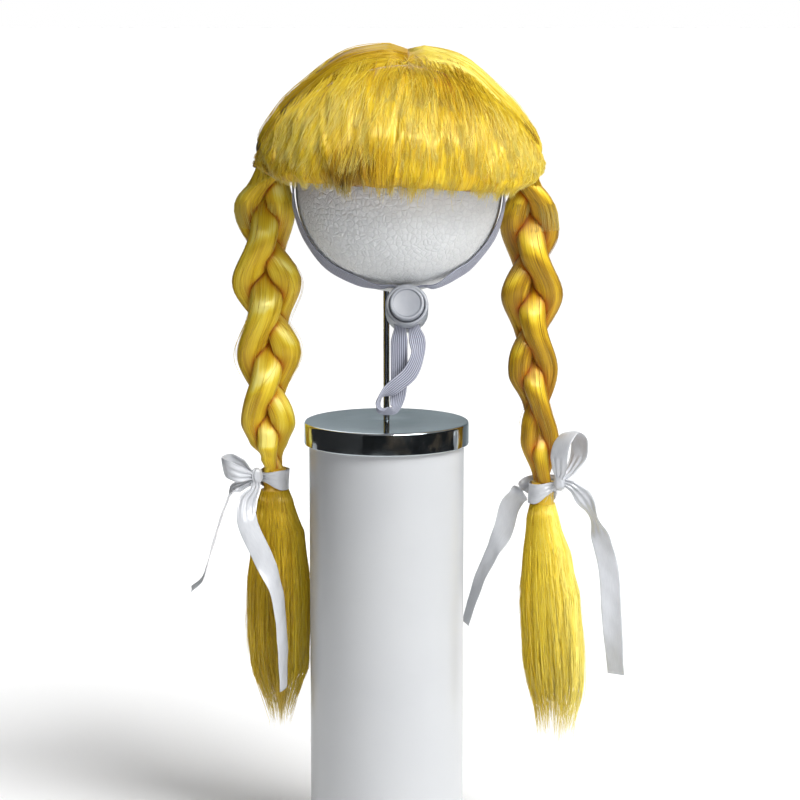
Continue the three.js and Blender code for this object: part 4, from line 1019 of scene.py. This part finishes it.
def buildRightBow():
    buildBandAndKnot(rightSide)
    buildRibbon("bow_right_loop", rightSide, 26, [
        (-0.02, 0.05, 0.06, (0.8, 0.6, 0), 0.35), (-0.03, 0.17, 0.26, (0.8, 0.6, 0), 0.8),
        (-0.04, 0.26, 0.52, (0.8, 0.6, 0.05), 1), (0.03, 0.26, 0.8, (0.78, 0.6, 0.1), 1),
        (0.19, 0.13, 0.97, (0.75, 0.62, 0.1), 1), (0.36, -0.03, 0.84, (0.78, 0.6, 0), 1),
        (0.37, -0.08, 0.52, (0.8, 0.6, 0), 1), (0.22, -0.05, 0.22, (0.8, 0.6, 0), 0.7),
        (0.07, 0.0, 0.05, (0.8, 0.6, 0), 0.3)], 90)
    buildRibbon("bow_right_tail_outer", rightSide, 104, [
        (0.02, 0.01, 0, (0, 0.2, 1), 0.35), (0.06, 0.02, -0.02, (0.1, 0.2, 1), 0.6),
        (0.11, 0.03, -0.07, (0.6, 0.3, 0.8), 0.9), (0.165, 0.03, -0.17, (0.4, 0.9, 0.1), 0.85),
        (0.2, 0.03, -0.28, (0.9, 0.4, 0.1), 1), (0.235, 0.03, -0.42, (1, 0.25, 0), 1),
        (0.255, 0.02, -0.66, (1, 0.3, 0), 1), (0.28, 0.01, -0.94, (0.75, 0.65, 0), 1)], 110)
    buildRibbon("bow_right_tail_inner", rightSide, 82, [
        (0.03, -0.005, -0.02, (0, 0, 1), 0.3), (0.02, -0.05, -0.03, (0, 0, 1), 0.5),
        (0.012, -0.1, -0.035, (0, 0, 1), 0.7), (-0.02, -0.175, -0.04, (0, 0, 1), 0.8),
        (-0.098, -0.207, -0.045, (0.1, 0, 1), 0.85), (-0.18, -0.185, -0.06, (0.3, 0, 1), 0.95),
        (-0.235, -0.18, -0.11, (0.8, 0.1, 0.6), 1), (-0.29, -0.2, -0.19, (1, 0.1, 0.1), 1),
        (-0.33, -0.2, -0.34, (1, 0.2, 0.1), 1), (-0.4, -0.19, -0.49, (0.6, 0.8, 0), 1),
        (-0.47, -0.18, -0.64, (0.5, 0.85, 0), 1), (-0.56, -0.17, -0.92, (0.3, 0.95, 0), 1)], 120)


def twistedThread():
    # Polyester yarn out of the ribbon's edge, twisted: matt and a little uneven in tone.
    m = newMaterial("polyesterThread")
    place = addNode(m, "TexCoord").outputs["Object"]
    grain = addNode(m, "TexNoise", {"Vector": place, "Scale": 900})
    color = addNode(m, "ValToRGB", {"Fac": grain}, stops=[(0.3, "C0C1C4"), (0.7, "DCDCDF")])
    return finishMaterial(m, Base_Color=color, Roughness=0.5)


thread = twistedThread()


def frayedThreads(side, count):
    # threads that have come out of the ribbon's cut edge hang curled under the knot
    start = knotPlace(side) + rng.normal(0, 1, (count, 3)) * (1.6, 0.5, 0.6) + (0, -2.4, -2.5)
    t = np.linspace(0, 1, 9)[None, :, None]
    fall = rng.uniform(3.5, 8.5, (count, 1, 1))
    drift = rng.normal(0, 2.4, (count, 1, 3)) * (1, 0.5, 0)
    down, own = t[..., 0], fall[..., 0]
    curl = 0.7 * np.stack([np.sin(7 * down + own), np.cos(6 * down + own), 0 * (down + own)], -1) * t
    paths = start[:, None] + drift * t + curl - fall * t * (0, 0, 1)
    away = np.broadcast_to([0.0, -1, 0.1], paths.shape)
    hairTubes(f"bow_{side['name']}_threads", paths, away, rng.uniform(0.06, 0.1, count), np.full(count, 0.5),
              thread)


buildLeftBow()
buildRightBow()
frayedThreads(rightSide, 22)
frayedThreads(leftSide, 6)
print("bows made")


# chin strap and its lock

elasticFinish = {"color": "A6A9B9", "groove": "414554", "ribs": 8}


def braidedElastic(finish):
    # Braided elastic, rubber cores under bulked polyester: matt lengthwise ribs, and grooves between them
    # painted dark grey-violet as shade.
    m = newMaterial("braidedElastic")
    uv = addNode(m, "UVMap", uv_map="flow")
    rib = addNode(m, "TexWave", {"Vector": uv, "Scale": finish["ribs"] / 8 * 0.314, "Distortion": 0.6,
                                 "Detail": 1, "Detail Scale": 1.0}, bands_direction="X")
    stitch = addNode(m, "Mapping", {"Vector": uv, "Scale": (1 / 0.5, 1 / 0.7, 1)})
    knit = addNode(m, "TexNoise", {"Vector": stitch, "Scale": 1, "Detail": 2})
    color = addNode(m, "ValToRGB", {"Fac": addNode(m, "Attribute", attribute_name="groove").outputs["Fac"]},
                    stops=[(0.0, finish["color"]), (1.0, finish["groove"])])
    height = addNode(m, "Math", {0: knit, 1: rib.outputs["Fac"]}, operation="ADD")
    bump = addNode(m, "Bump", {"Strength": 0.3, "Distance": 0.0002, "Height": height})
    return finishMaterial(m, Base_Color=color, Roughness=0.62, Normal=bump,
                          Sheen_Weight=0.3, Sheen_Roughness=0.5)


elastic = braidedElastic(elasticFinish)
lock = {
    "radius": 10.2, "wall": 1.7, "tilt": 22, "travel": 3, "proud": 3, "toFace": 5.5, "toBack": 3.8,
    "side": 3.8, "front": 29.1, "underBall": 4.6, "sides": 96,
    "cupRounds": (0, 1.2, 0.7, 0.5, 0, 0), "plugRounds": (0, 0.3, 0.6, 0.3, 0.3, 0),
}
strap = {
    "wide": 8, "thick": 1, "bunched": 5.5, "lift": 1.3, "steps": 330, "sections": 50,
    "loop": [((-0.36, -0.4, -1.6), (1, 0, 0)), ((-0.36, -0.4, -2.8), (1, 0.1, 0)),
             ((-0.4, -0.36, -3.9), (1, 0.3, 0)), ((-0.62, -0.4, -4.75), (0.6, 0.8, -0.3)),
             ((-1.15, -0.62, -4.72), (0.1, 0.9, -0.75)), ((-1.3, -0.85, -4.2), (0.35, 1, 0.1)),
             ((-0.6, -0.98, -3.6), (0.6, 0.4, -0.8)), ((0.15, -0.82, -2.95), (0.7, 0.3, -0.6)),
             ((0.5, -0.6, -2.1), (0.8, 0.6, 0)), ((0.48, -0.42, -1.5), (1, 0.2, 0))],
}
lockPlace = ballCentre + np.array([lock["side"], -lock["front"], -ballRadius - lock["underBall"]])
lockTilt = math.radians(lock["tilt"])
slotUp = np.array([0, math.sin(lockTilt), math.cos(lockTilt)])
lockAxis = np.array([0, -math.cos(lockTilt), math.sin(lockTilt)])
lockAxes = np.array([[1, 0, 0], slotUp, lockAxis])
runPlace = strap["bunched"] / 2 + gap + 0.1


def ribShape(s, wide, length):
    # the ribs stand on both faces, so the middle of the cloth stays flat
    return 0 * s * wide + 0.12 * np.sin(length / 5 + s)


def buildStrap():
    # one length of elastic from under the base's left rim, round the ball, through the lock, into a loop
    # under it, and back the same way on the right. The loop's rows are in lock radii from the lock's middle.
    def onBall(x, y, z):
        way = unit(np.array([x, y, z], float))
        return ballCentre + way * (ballRadius + strap["thick"] / 2 + strap["lift"])

    def byLock(hand, out, up):
        return lockPlace + np.array([hand * out * lock["radius"], 0, 0]) + slotUp * up * lock["radius"]

    wide, inner = strap["wide"], capOuter - 1.5
    rimDrop = 4 - math.degrees(gap / ballRadius)

    def arm(hand):
        slot = runPlace / lock["radius"]
        under = (-0.4, -0.42, -0.815) if hand < 0 else (0.54, -0.37, -0.76)
        return [
            (ballCentre + direction(hand * 80, rimDrop) * (inner + (1 + gap) / 2), (0, -1, 0), wide),
            (onBall(hand * 0.965, -0.2, -0.17), (hand * -0.19, -0.97, 0.08), wide),
            (onBall(hand * 0.86, -0.235, -0.45), (hand * -0.24, -0.91, 0.33), wide),
            (onBall(hand * 0.66, -0.31, -0.69), (hand * -0.15, -0.8, 0.59), wide),
            (onBall(*under), (0, -0.72, 0.7), wide),
            (byLock(hand, 1.3, 1.02), (0, -1, 0.45), 0.8 * wide),
            (byLock(hand, 0.76, 1.04), (-hand * 0.2, -1, 0.4), 0.4 * wide),
            (byLock(hand, 0.44, 0.99), (-hand, -0.5, 0), 0.22 * wide),
            (byLock(hand, slot, 0.82), (-hand, 0, 0), 0.35 * wide),
            (byLock(hand, slot, 0.5), (-hand, 0, 0), strap["bunched"]),
            (byLock(hand, slot, -0.5), (-hand, 0, 0), strap["bunched"]),
            (byLock(hand, slot, -0.9), (-hand, 0, 0), strap["bunched"])]

    loop = [(lockPlace + np.array(place) * lock["radius"], way, wide) for place, way in strap["loop"]]
    right = [(place, tuple(-c for c in way), w) for place, way, w in reversed(arm(1))]
    rows = arm(-1) + loop + right
    rings, flow, length = stripRings(rows, strap["steps"], strap["thick"] * 0.8, strap["sections"], ribShape)
    half = strap["sections"]
    s = np.linspace(0, 1, half)
    groove = np.abs(np.cos(np.pi * elasticFinish["ribs"] * s)) ** 3
    face = rings[:, :half] - rings[:, :half - 1:-1]
    out = unit(face) * (0.16 * (0.6 - groove))[None, :, None]
    rings[:, :half] += out
    rings[:, half:] -= out[:, ::-1]
    # the groove field also paints shade into the grooves between the ribs
    field = np.broadcast_to(np.concatenate([groove, groove[::-1]]), rings.shape[:2])
    sweep("chin_strap_elastic", rings, elastic, ("chin_strap",), {"groove": field}, "strip", flow)
    print("  strap length", round(length, 1), "mm")


def milkyPlastic():
    # Polypropylene, injection moulded: slightly see-through, so it looks milky, with a soft waxy gloss.
    m = newMaterial("polypropyleneMoulded")
    place = addNode(m, "TexCoord").outputs["Object"]
    cloud = addNode(m, "TexNoise", {"Vector": place, "Scale": 90, "Detail": 3})
    color = addNode(m, "ValToRGB", {"Fac": cloud}, stops=[(0.3, "7C8089"), (0.7, "8B8F97")])
    grain = addNode(m, "TexNoise", {"Vector": place, "Scale": 1500, "Detail": 2})
    bump = addNode(m, "Bump", {"Strength": 0.12, "Distance": 0.0001, "Height": grain})
    return finishMaterial(m, Base_Color=color, Roughness=0.36, IOR=1.49, Normal=bump, Subsurface_Weight=0.15,
                          Subsurface_Radius=(0.004, 0.004, 0.004), Subsurface_Scale=0.5)


def cutSlot(piece, low, high):
    # cuts the strap's slot: a box in the lock's own frame, wide across, open above and below
    runs = runPlace + strap["bunched"] / 2 + 1.5 * gap
    past = 2 * lock["radius"]
    x, y, z = np.meshgrid([-runs, runs], [-past, past], [low, high], indexing="ij")
    corners = np.stack([x, y, z], -1).reshape(-1, 3)
    faces = [(0, 1, 3, 2), (4, 6, 7, 5), (0, 4, 5, 1), (2, 3, 7, 6), (0, 2, 6, 4), (1, 5, 7, 3)]
    cutter = placeFlat("slotCutter", (corners @ lockAxes + lockPlace) / 1000, faces)
    cut = piece.modifiers.new("slot", "BOOLEAN")
    cut.operation, cut.object, cut.solver = "DIFFERENCE", cutter, "EXACT"
    bpy.context.view_layer.update()
    made = bpy.data.meshes.new_from_object(piece.evaluated_get(bpy.context.evaluated_depsgraph_get()))
    piece.modifiers.clear()
    piece.data = made
    bpy.data.objects.remove(cutter)
    made.set_sharp_from_angle(angle=math.radians(35))


def buildLock():
    # the body is a round cup with a soft rim, the button a round plug with a ring round its dished face
    plastic = milkyPlastic()
    back = -lock["toBack"] - lock["travel"] - gap
    outer, bore = lock["radius"], lock["radius"] - lock["wall"]
    floor, face = back - lock["wall"], lock["toFace"]
    cup = roundedProfile([(0, floor), (outer, floor), (outer, face), (bore, face), (bore, back), (0, back)],
                         lock["cupRounds"])
    shell = turned("lock_body_moulded", cup, lock["sides"], plastic, ("lock_body",),
                   lockPlace, lockAxes)
    clear = strap["thick"] / 2 + gap
    cutSlot(shell, -clear - gap, clear)

    edge = lock["radius"] - lock["wall"] - gap
    top = lock["toFace"] + lock["proud"]
    plug = roundedProfile([(0, -lock["toBack"]), (edge, -lock["toBack"]), (edge, top), (edge - 1.4, top),
                           (edge - 1.7, top - 0.35), (0, top - 0.3)], lock["plugRounds"])
    button = turned("lock_button_moulded", plug, lock["sides"], plastic, ("lock_button",),
                    lockPlace, lockAxes, rides="button")
    cutSlot(button, -clear, clear + lock["travel"])


buildStrap()
buildLock()
print("strap and lock made")


# wig base, ball and the rest of the stand

def knittedBase():
    # Stretch net of nylon, knitted: a matt golden mesh whose small loops show as dark dots 1.2 mm apart.
    m = newMaterial("nylonStretchNet")
    place = addNode(m, "TexCoord").outputs["Object"]
    cells = addNode(m, "TexVoronoi", {"Vector": place, "Scale": 1 / 0.0012, "Randomness": 0.25})
    color = addNode(m, "ValToRGB", {"Fac": cells}, stops=[(0.0, "8A6418"), (0.5, "C99A2E")])
    bump = addNode(m, "Bump", {"Strength": 0.5, "Distance": 0.0003, "Height": cells})
    return finishMaterial(m, Base_Color=color, Roughness=0.85, Normal=bump)


base = {"around": 140, "down": 44, "wall": 1.5,
        "rimRows": {"at": [0, 50, 78, 102, 150, 180], "rim": [22, 22, 4, 4, -27, -27]}}


def buildBase():
    # a cloth dome: rings from its top down to a rim that is high in front and low behind, outside then inside
    turn = np.linspace(-180, 180, base["around"], endpoint=False)[None]
    share = np.linspace(0.01, 1, base["down"])[:, None]
    rim = readRows(base["rimRows"], "rim", np.abs(turn))
    way = direction(turn, 90 - (90 - rim) * share)
    inner = capOuter - base["wall"]
    rings = np.concatenate([ballCentre + way * capOuter, ballCentre + way[-1:] * (inner + capOuter) / 2
                            - np.array([0, 0, 0.4]), (ballCentre + way * inner)[::-1]])
    sweep("wig_cap_knitted", rings, knittedBase(), ("wig_cap",))


foamFinish = {"bead": 2.7, "seam": "D0D2D4", "skin": "D8DADB", "dark": 0.93, "grain": 0.45}


def beadedFoam(finish):
    # Expanded polystyrene, steamed in a mould: pressed beads leave many-sided cells, and the torn skin of
    # each catches the light as a fine sparkle.
    m = newMaterial("expandedPolystyrene")
    place = addNode(m, "TexCoord").outputs["Object"]
    scale = 1000 / finish["bead"]
    beads = addNode(m, "TexVoronoi", {"Vector": place, "Scale": scale, "Randomness": 0.9},
                    feature="DISTANCE_TO_EDGE")
    tone = addNode(m, "TexVoronoi", {"Vector": place, "Scale": scale, "Randomness": 0.9})
    scale = 1000 / finish["grain"]
    grain = addNode(m, "TexNoise", {"Vector": place, "Scale": scale, "Detail": 4, "Roughness": 0.8})
    seam = addNode(m, "ValToRGB", {"Fac": beads}, stops=[(0.0, finish["seam"]), (0.1, finish["skin"])])
    own = tone.outputs["Color"]
    shade = addNode(m, "MapRange", {"Value": own, 1: 0.0, 2: 1.0, 3: finish["dark"], 4: 1.03})
    color = addNode(m, "Mix", {"Factor": 1.0, 6: seam, 7: shade}, data_type="RGBA", blend_type="MULTIPLY")
    edge = addNode(m, "MapRange", {"Value": beads, 1: 0.0, 2: 0.2, 3: 0.0, 4: 1.2})
    height = addNode(m, "Math", {0: grain, 1: edge}, operation="ADD")
    bump = addNode(m, "Bump", {"Strength": 0.7, "Distance": 0.0003, "Height": height})
    rough = addNode(m, "MapRange", {"Value": grain, 1: 0.4, 2: 0.65, 3: 0.3, 4: 0.7})
    return finishMaterial(m, Base_Color=color.outputs[2], Roughness=rough, IOR=1.45, Normal=bump,
                          Subsurface_Weight=0.08, Subsurface_Radius=(0.003, 0.003, 0.003),
                          Subsurface_Scale=0.5)


ball = {"around": 360, "down": 180, "beads": 4000, "beadRadius": 0.036, "dimple": 0.13, "rodSink": 1.6,
        "rodReach": 2.4}


def buildBall():
    # a ball whose skin swells a little in the middle of each bead and sinks between beads; beads are spread
    # on a golden spiral and shaken, and the skin also sinks round the rod
    n = np.arange(ball["beads"])
    rise = 1 - (2 * n + 1) / ball["beads"]
    spin = n * math.pi * (3 - math.sqrt(5))
    flat = np.sqrt(1 - rise ** 2)
    spiral = np.stack([flat * np.cos(spin), flat * np.sin(spin), rise], -1)
    centres = unit(spiral + rng.normal(0, 0.013, (len(n), 3)))
    theta = np.linspace(0, np.pi, ball["down"] + 2)[1:-1][:, None]
    phi = np.linspace(0, 2 * np.pi, ball["around"], endpoint=False)[None]
    way = np.stack([np.sin(theta) * np.cos(phi), np.sin(theta) * np.sin(phi), np.cos(theta) + 0 * phi], -1)
    nearest = np.stack([np.sqrt(np.maximum(0, 2 - 2 * (row @ centres.T).max(1))) for row in way])
    sink = ball["dimple"] * np.clip(nearest / ball["beadRadius"], 0, 1.3) ** 2
    points = ballCentre + way * (ballRadius - sink)[..., None]
    fromRod = np.hypot(points[..., 0], points[..., 1]) + 100 * (points[..., 2] > ballCentre[2])
    points[..., 2] += ball["rodSink"] * np.exp(-(fromRod / ball["rodReach"]) ** 2)
    sweep("stand_ball_foam", points, beadedFoam(foamFinish), ("stand_ball",))


def spunChrome():
    # Mild steel, drawn and chrome plated: a hard mirror, broken only by faint waves from the drawing.
    m = newMaterial("steelChromePlated")
    place = addNode(m, "TexCoord").outputs["Object"]
    wave = addNode(m, "TexNoise", {"Vector": place, "Scale": 70, "Detail": 3, "Roughness": 0.5})
    haze = addNode(m, "TexNoise", {"Vector": place, "Scale": 160, "Detail": 4, "Roughness": 0.6})
    rough = addNode(m, "MapRange", {"Value": haze, 1: 0.35, 2: 0.75, 3: 0.05, 4: 0.16})
    bump = addNode(m, "Bump", {"Strength": 0.12, "Distance": 0.001, "Height": wave})
    return finishMaterial(m, Base_Color=linearColor("B9C0C4"), Metallic=1.0, Roughness=rough, Normal=bump)


def sprayedLacquer():
    # Turned wood, filled and sprayed with white lacquer: a broad soft gloss with a trace of orange peel.
    m = newMaterial("lacquerSprayedWhite")
    place = addNode(m, "TexCoord").outputs["Object"]
    peel = addNode(m, "TexNoise", {"Vector": place, "Scale": 350, "Detail": 2})
    mottle = addNode(m, "TexNoise", {"Vector": place, "Scale": 14, "Detail": 3})
    color = addNode(m, "ValToRGB", {"Fac": mottle}, stops=[(0.3, "B4B6B9"), (0.7, "BBBDBF")])
    bump = addNode(m, "Bump", {"Strength": 0.06, "Distance": 0.0003, "Height": peel})
    return finishMaterial(m, Base_Color=color, Roughness=0.34, IOR=1.5, Normal=bump,
                          Coat_Weight=0.25, Coat_Roughness=0.15)


stand = {"sides": 160, "rodSides": 48, "lidWall": 2, "rodHole": 1.8, "columnRounds": (0, 0.8, 0.4, 0),
         "lidRounds": (0.2, 1.3, 0.7, 0.5, 0.8, 0.1), "rodRounds": (0, 0.3, 0.3, 0)}


def buildStand():
    # the column, lid and rod are turned profiles with their real small roundings
    chrome = spunChrome()
    radius, top = (columnHigh[0] - columnLow[0]) / 2, columnHigh[2]
    column = roundedProfile([(0, 0), (radius, 0), (radius, top), (0, top)], stand["columnRounds"])
    turned("stand_column_lacquered", column, stand["sides"], sprayedLacquer(),
           ("stand_column",))
    outer, wall, hole = (lidHigh[0] - lidLow[0]) / 2, stand["lidWall"], stand["rodHole"]
    low, high = lidLow[2], lidHigh[2]
    lid = roundedProfile([(hole, high), (outer, high), (outer, low), (outer - wall, low),
                          (outer - wall, high - wall), (hole, high - wall)], stand["lidRounds"])
    turned("stand_lid_chrome", lid, stand["sides"], chrome, ("stand_lid",))
    rodLow, rodHigh = nodeBox("stand_rod")
    thick, low, high = (rodHigh[0] - rodLow[0]) / 2, rodLow[2], rodHigh[2]
    rod = roundedProfile([(0, low), (thick, low), (thick, high), (0, high)], stand["rodRounds"])
    turned("stand_rod_chrome", rod, stand["rodSides"], chrome, ("stand_rod",))


buildBase()
buildBall()
buildStand()
print("base and stand made")


# floor, light and camera

studio = {
    "floor": "FCFCFC", "floorSize": 300.0,
    "sky": [(0.0, 1.0), (0.04, 1.0), (0.14, 0.8), (0.45, 0.3), (1.0, 0.3)],
    "sun": {"strength": 3.4, "angle": 32, "from": (0.82, -0.82, 1.12)},
    "sheen": {"strength": 3.0, "angle": 10, "from": (0.3, -1.0, 0.8)},
    "lights": [("frontLight", (0.7, -1.5, 0.5), 0.6, 2.0), ("backLight", (-0.4, 1.2, 1.1), 0.8, 5)],
    "aim": (0, 0, 0.26),
    "flag": {"out": -0.33, "near": -0.75, "far": 0.45, "low": 0.08, "high": 0.75,
             "stops": [(0.3, "0A0A0B"), (0.7, "141416")]},
    "cards": {"radius": 0.62, "high": 0.5, "steps": 40, "rows": [
        ("frontCard", -195, 24, [(0.3, "050607"), (0.55, "1A1D20"), (0.62, "54493C"), (0.75, "262F38")]),
        ("backCard", 28, 160, [(0.35, "667176"), (0.65, "9BA5A9")])]},
}


def aimAt(holder, away):
    # turns a lamp so that it shines from its place towards the wig
    flat = math.hypot(away[0], away[1])
    holder.rotation_euler = (math.atan2(flat, away[2]), 0, math.atan2(away[0], -away[1]))


def buildStudio():
    # a pale floor, soft lights, a small lamp that gives sheen alone, and cards that only mirrors see
    reach = studio["floorSize"] / 2
    paper = newMaterial("paperMatt")
    place = addNode(paper, "TexCoord").outputs["Object"]
    fibre = addNode(paper, "TexNoise", {"Vector": place, "Scale": 400, "Detail": 2})
    bump = addNode(paper, "Bump", {"Strength": 0.02, "Distance": 0.0002, "Height": fibre})
    finishMaterial(paper, Base_Color=linearColor(studio["floor"]), Roughness=0.9, Normal=bump)
    corners = [(-reach, -reach, 0), (reach, -reach, 0), (reach, reach, 0), (-reach, reach, 0)]
    floor = placeFlat("floor", corners, [(0, 1, 2, 3)], paper)
    for name in ("sun", "sheen"):
        lamp = bpy.data.lights.new(name + "Light", "SUN")
        lamp.energy, lamp.angle = studio[name]["strength"], math.radians(studio[name]["angle"])
        holder = placeObject(name + "Light", lamp)
        aimAt(holder, studio[name]["from"])
        holder.visible_diffuse = name == "sun"
    for name, place, size, power in studio["lights"]:
        lamp = bpy.data.lights.new(name, "AREA")
        lamp.shape, lamp.size, lamp.energy = "SQUARE", size, power
        holder = placeObject(name, lamp)
        holder.location = place
        aimAt(holder, np.array(place) - np.array(studio["aim"]))
    # dark flag on the left: it takes light away from that side and is itself seen by nothing else
    flag = studio["flag"]
    rim = (("near", "low"), ("far", "low"), ("far", "high"), ("near", "high"))
    corners = [(flag["out"], flag[depth], flag[height]) for depth, height in rim]
    placeCard("leftFlag", corners, [(0, 1, 2, 3)], flag["stops"], diffuse=True)
    # curved cards that only mirrors see: a dark room in front of the stand and a grey wall behind it
    cards = studio["cards"]
    i = np.arange(cards["steps"] - 1)
    faces = np.stack([i, i + 1, i + 1 + cards["steps"], i + cards["steps"]], -1)
    for name, start, stop, stops in cards["rows"]:
        angle = np.radians(np.linspace(start, stop, cards["steps"]))
        low = np.stack([cards["radius"] * np.cos(angle), cards["radius"] * np.sin(angle), 0 * angle], -1)
        placeCard(name, np.vstack([low, low + (0, 0, cards["high"])]), faces, stops, diffuse=False)
    sky = bpy.data.worlds.new("studioSky")
    sky.use_nodes = True
    background = sky.node_tree.nodes["Background"]
    place = addNode(sky, "TexCoord").outputs["Generated"]
    height = addNode(sky, "SeparateXYZ", {0: place}).outputs["Z"]
    ramp = addNode(sky, "ValToRGB", {"Fac": height}, stops=studio["sky"])
    sky.node_tree.links.new(ramp.outputs[0], background.inputs["Color"])
    bpy.context.scene.world = sky
    bpy.context.scene.view_settings.view_transform = "Standard"


def placeCard(name, corners, faces, stops, diffuse):
    cloth = newMaterial(name + "Cloth")
    place = addNode(cloth, "TexCoord").outputs["Object"]
    patch = addNode(cloth, "TexNoise", {"Vector": place, "Scale": 4, "Detail": 4})
    color = addNode(cloth, "ValToRGB", {"Fac": patch}, stops=stops)
    finishMaterial(cloth, Base_Color=color, Roughness=0.9)
    card = placeFlat(name, corners, faces, cloth)
    card.visible_camera = card.visible_shadow = card.visible_transmission = False
    card.visible_diffuse = diffuse


view = {"target": (0.006615, 0, 0.2304), "distance": 1.2, "pitch": 8.8, "lens": 110.2}


def buildCamera():
    pitch = math.radians(view["pitch"])
    camera = bpy.data.cameras.new("photoCamera")
    camera.lens, camera.sensor_width = view["lens"], 36
    holder = placeObject("photoCamera", camera)
    x, y, z = view["target"]
    holder.location = (x, y - view["distance"] * math.cos(pitch), z + view["distance"] * math.sin(pitch))
    holder.rotation_euler = (math.pi / 2 - pitch, 0, 0)
    bpy.context.scene.camera = holder


buildStudio()
buildCamera()
print("studio and camera set")
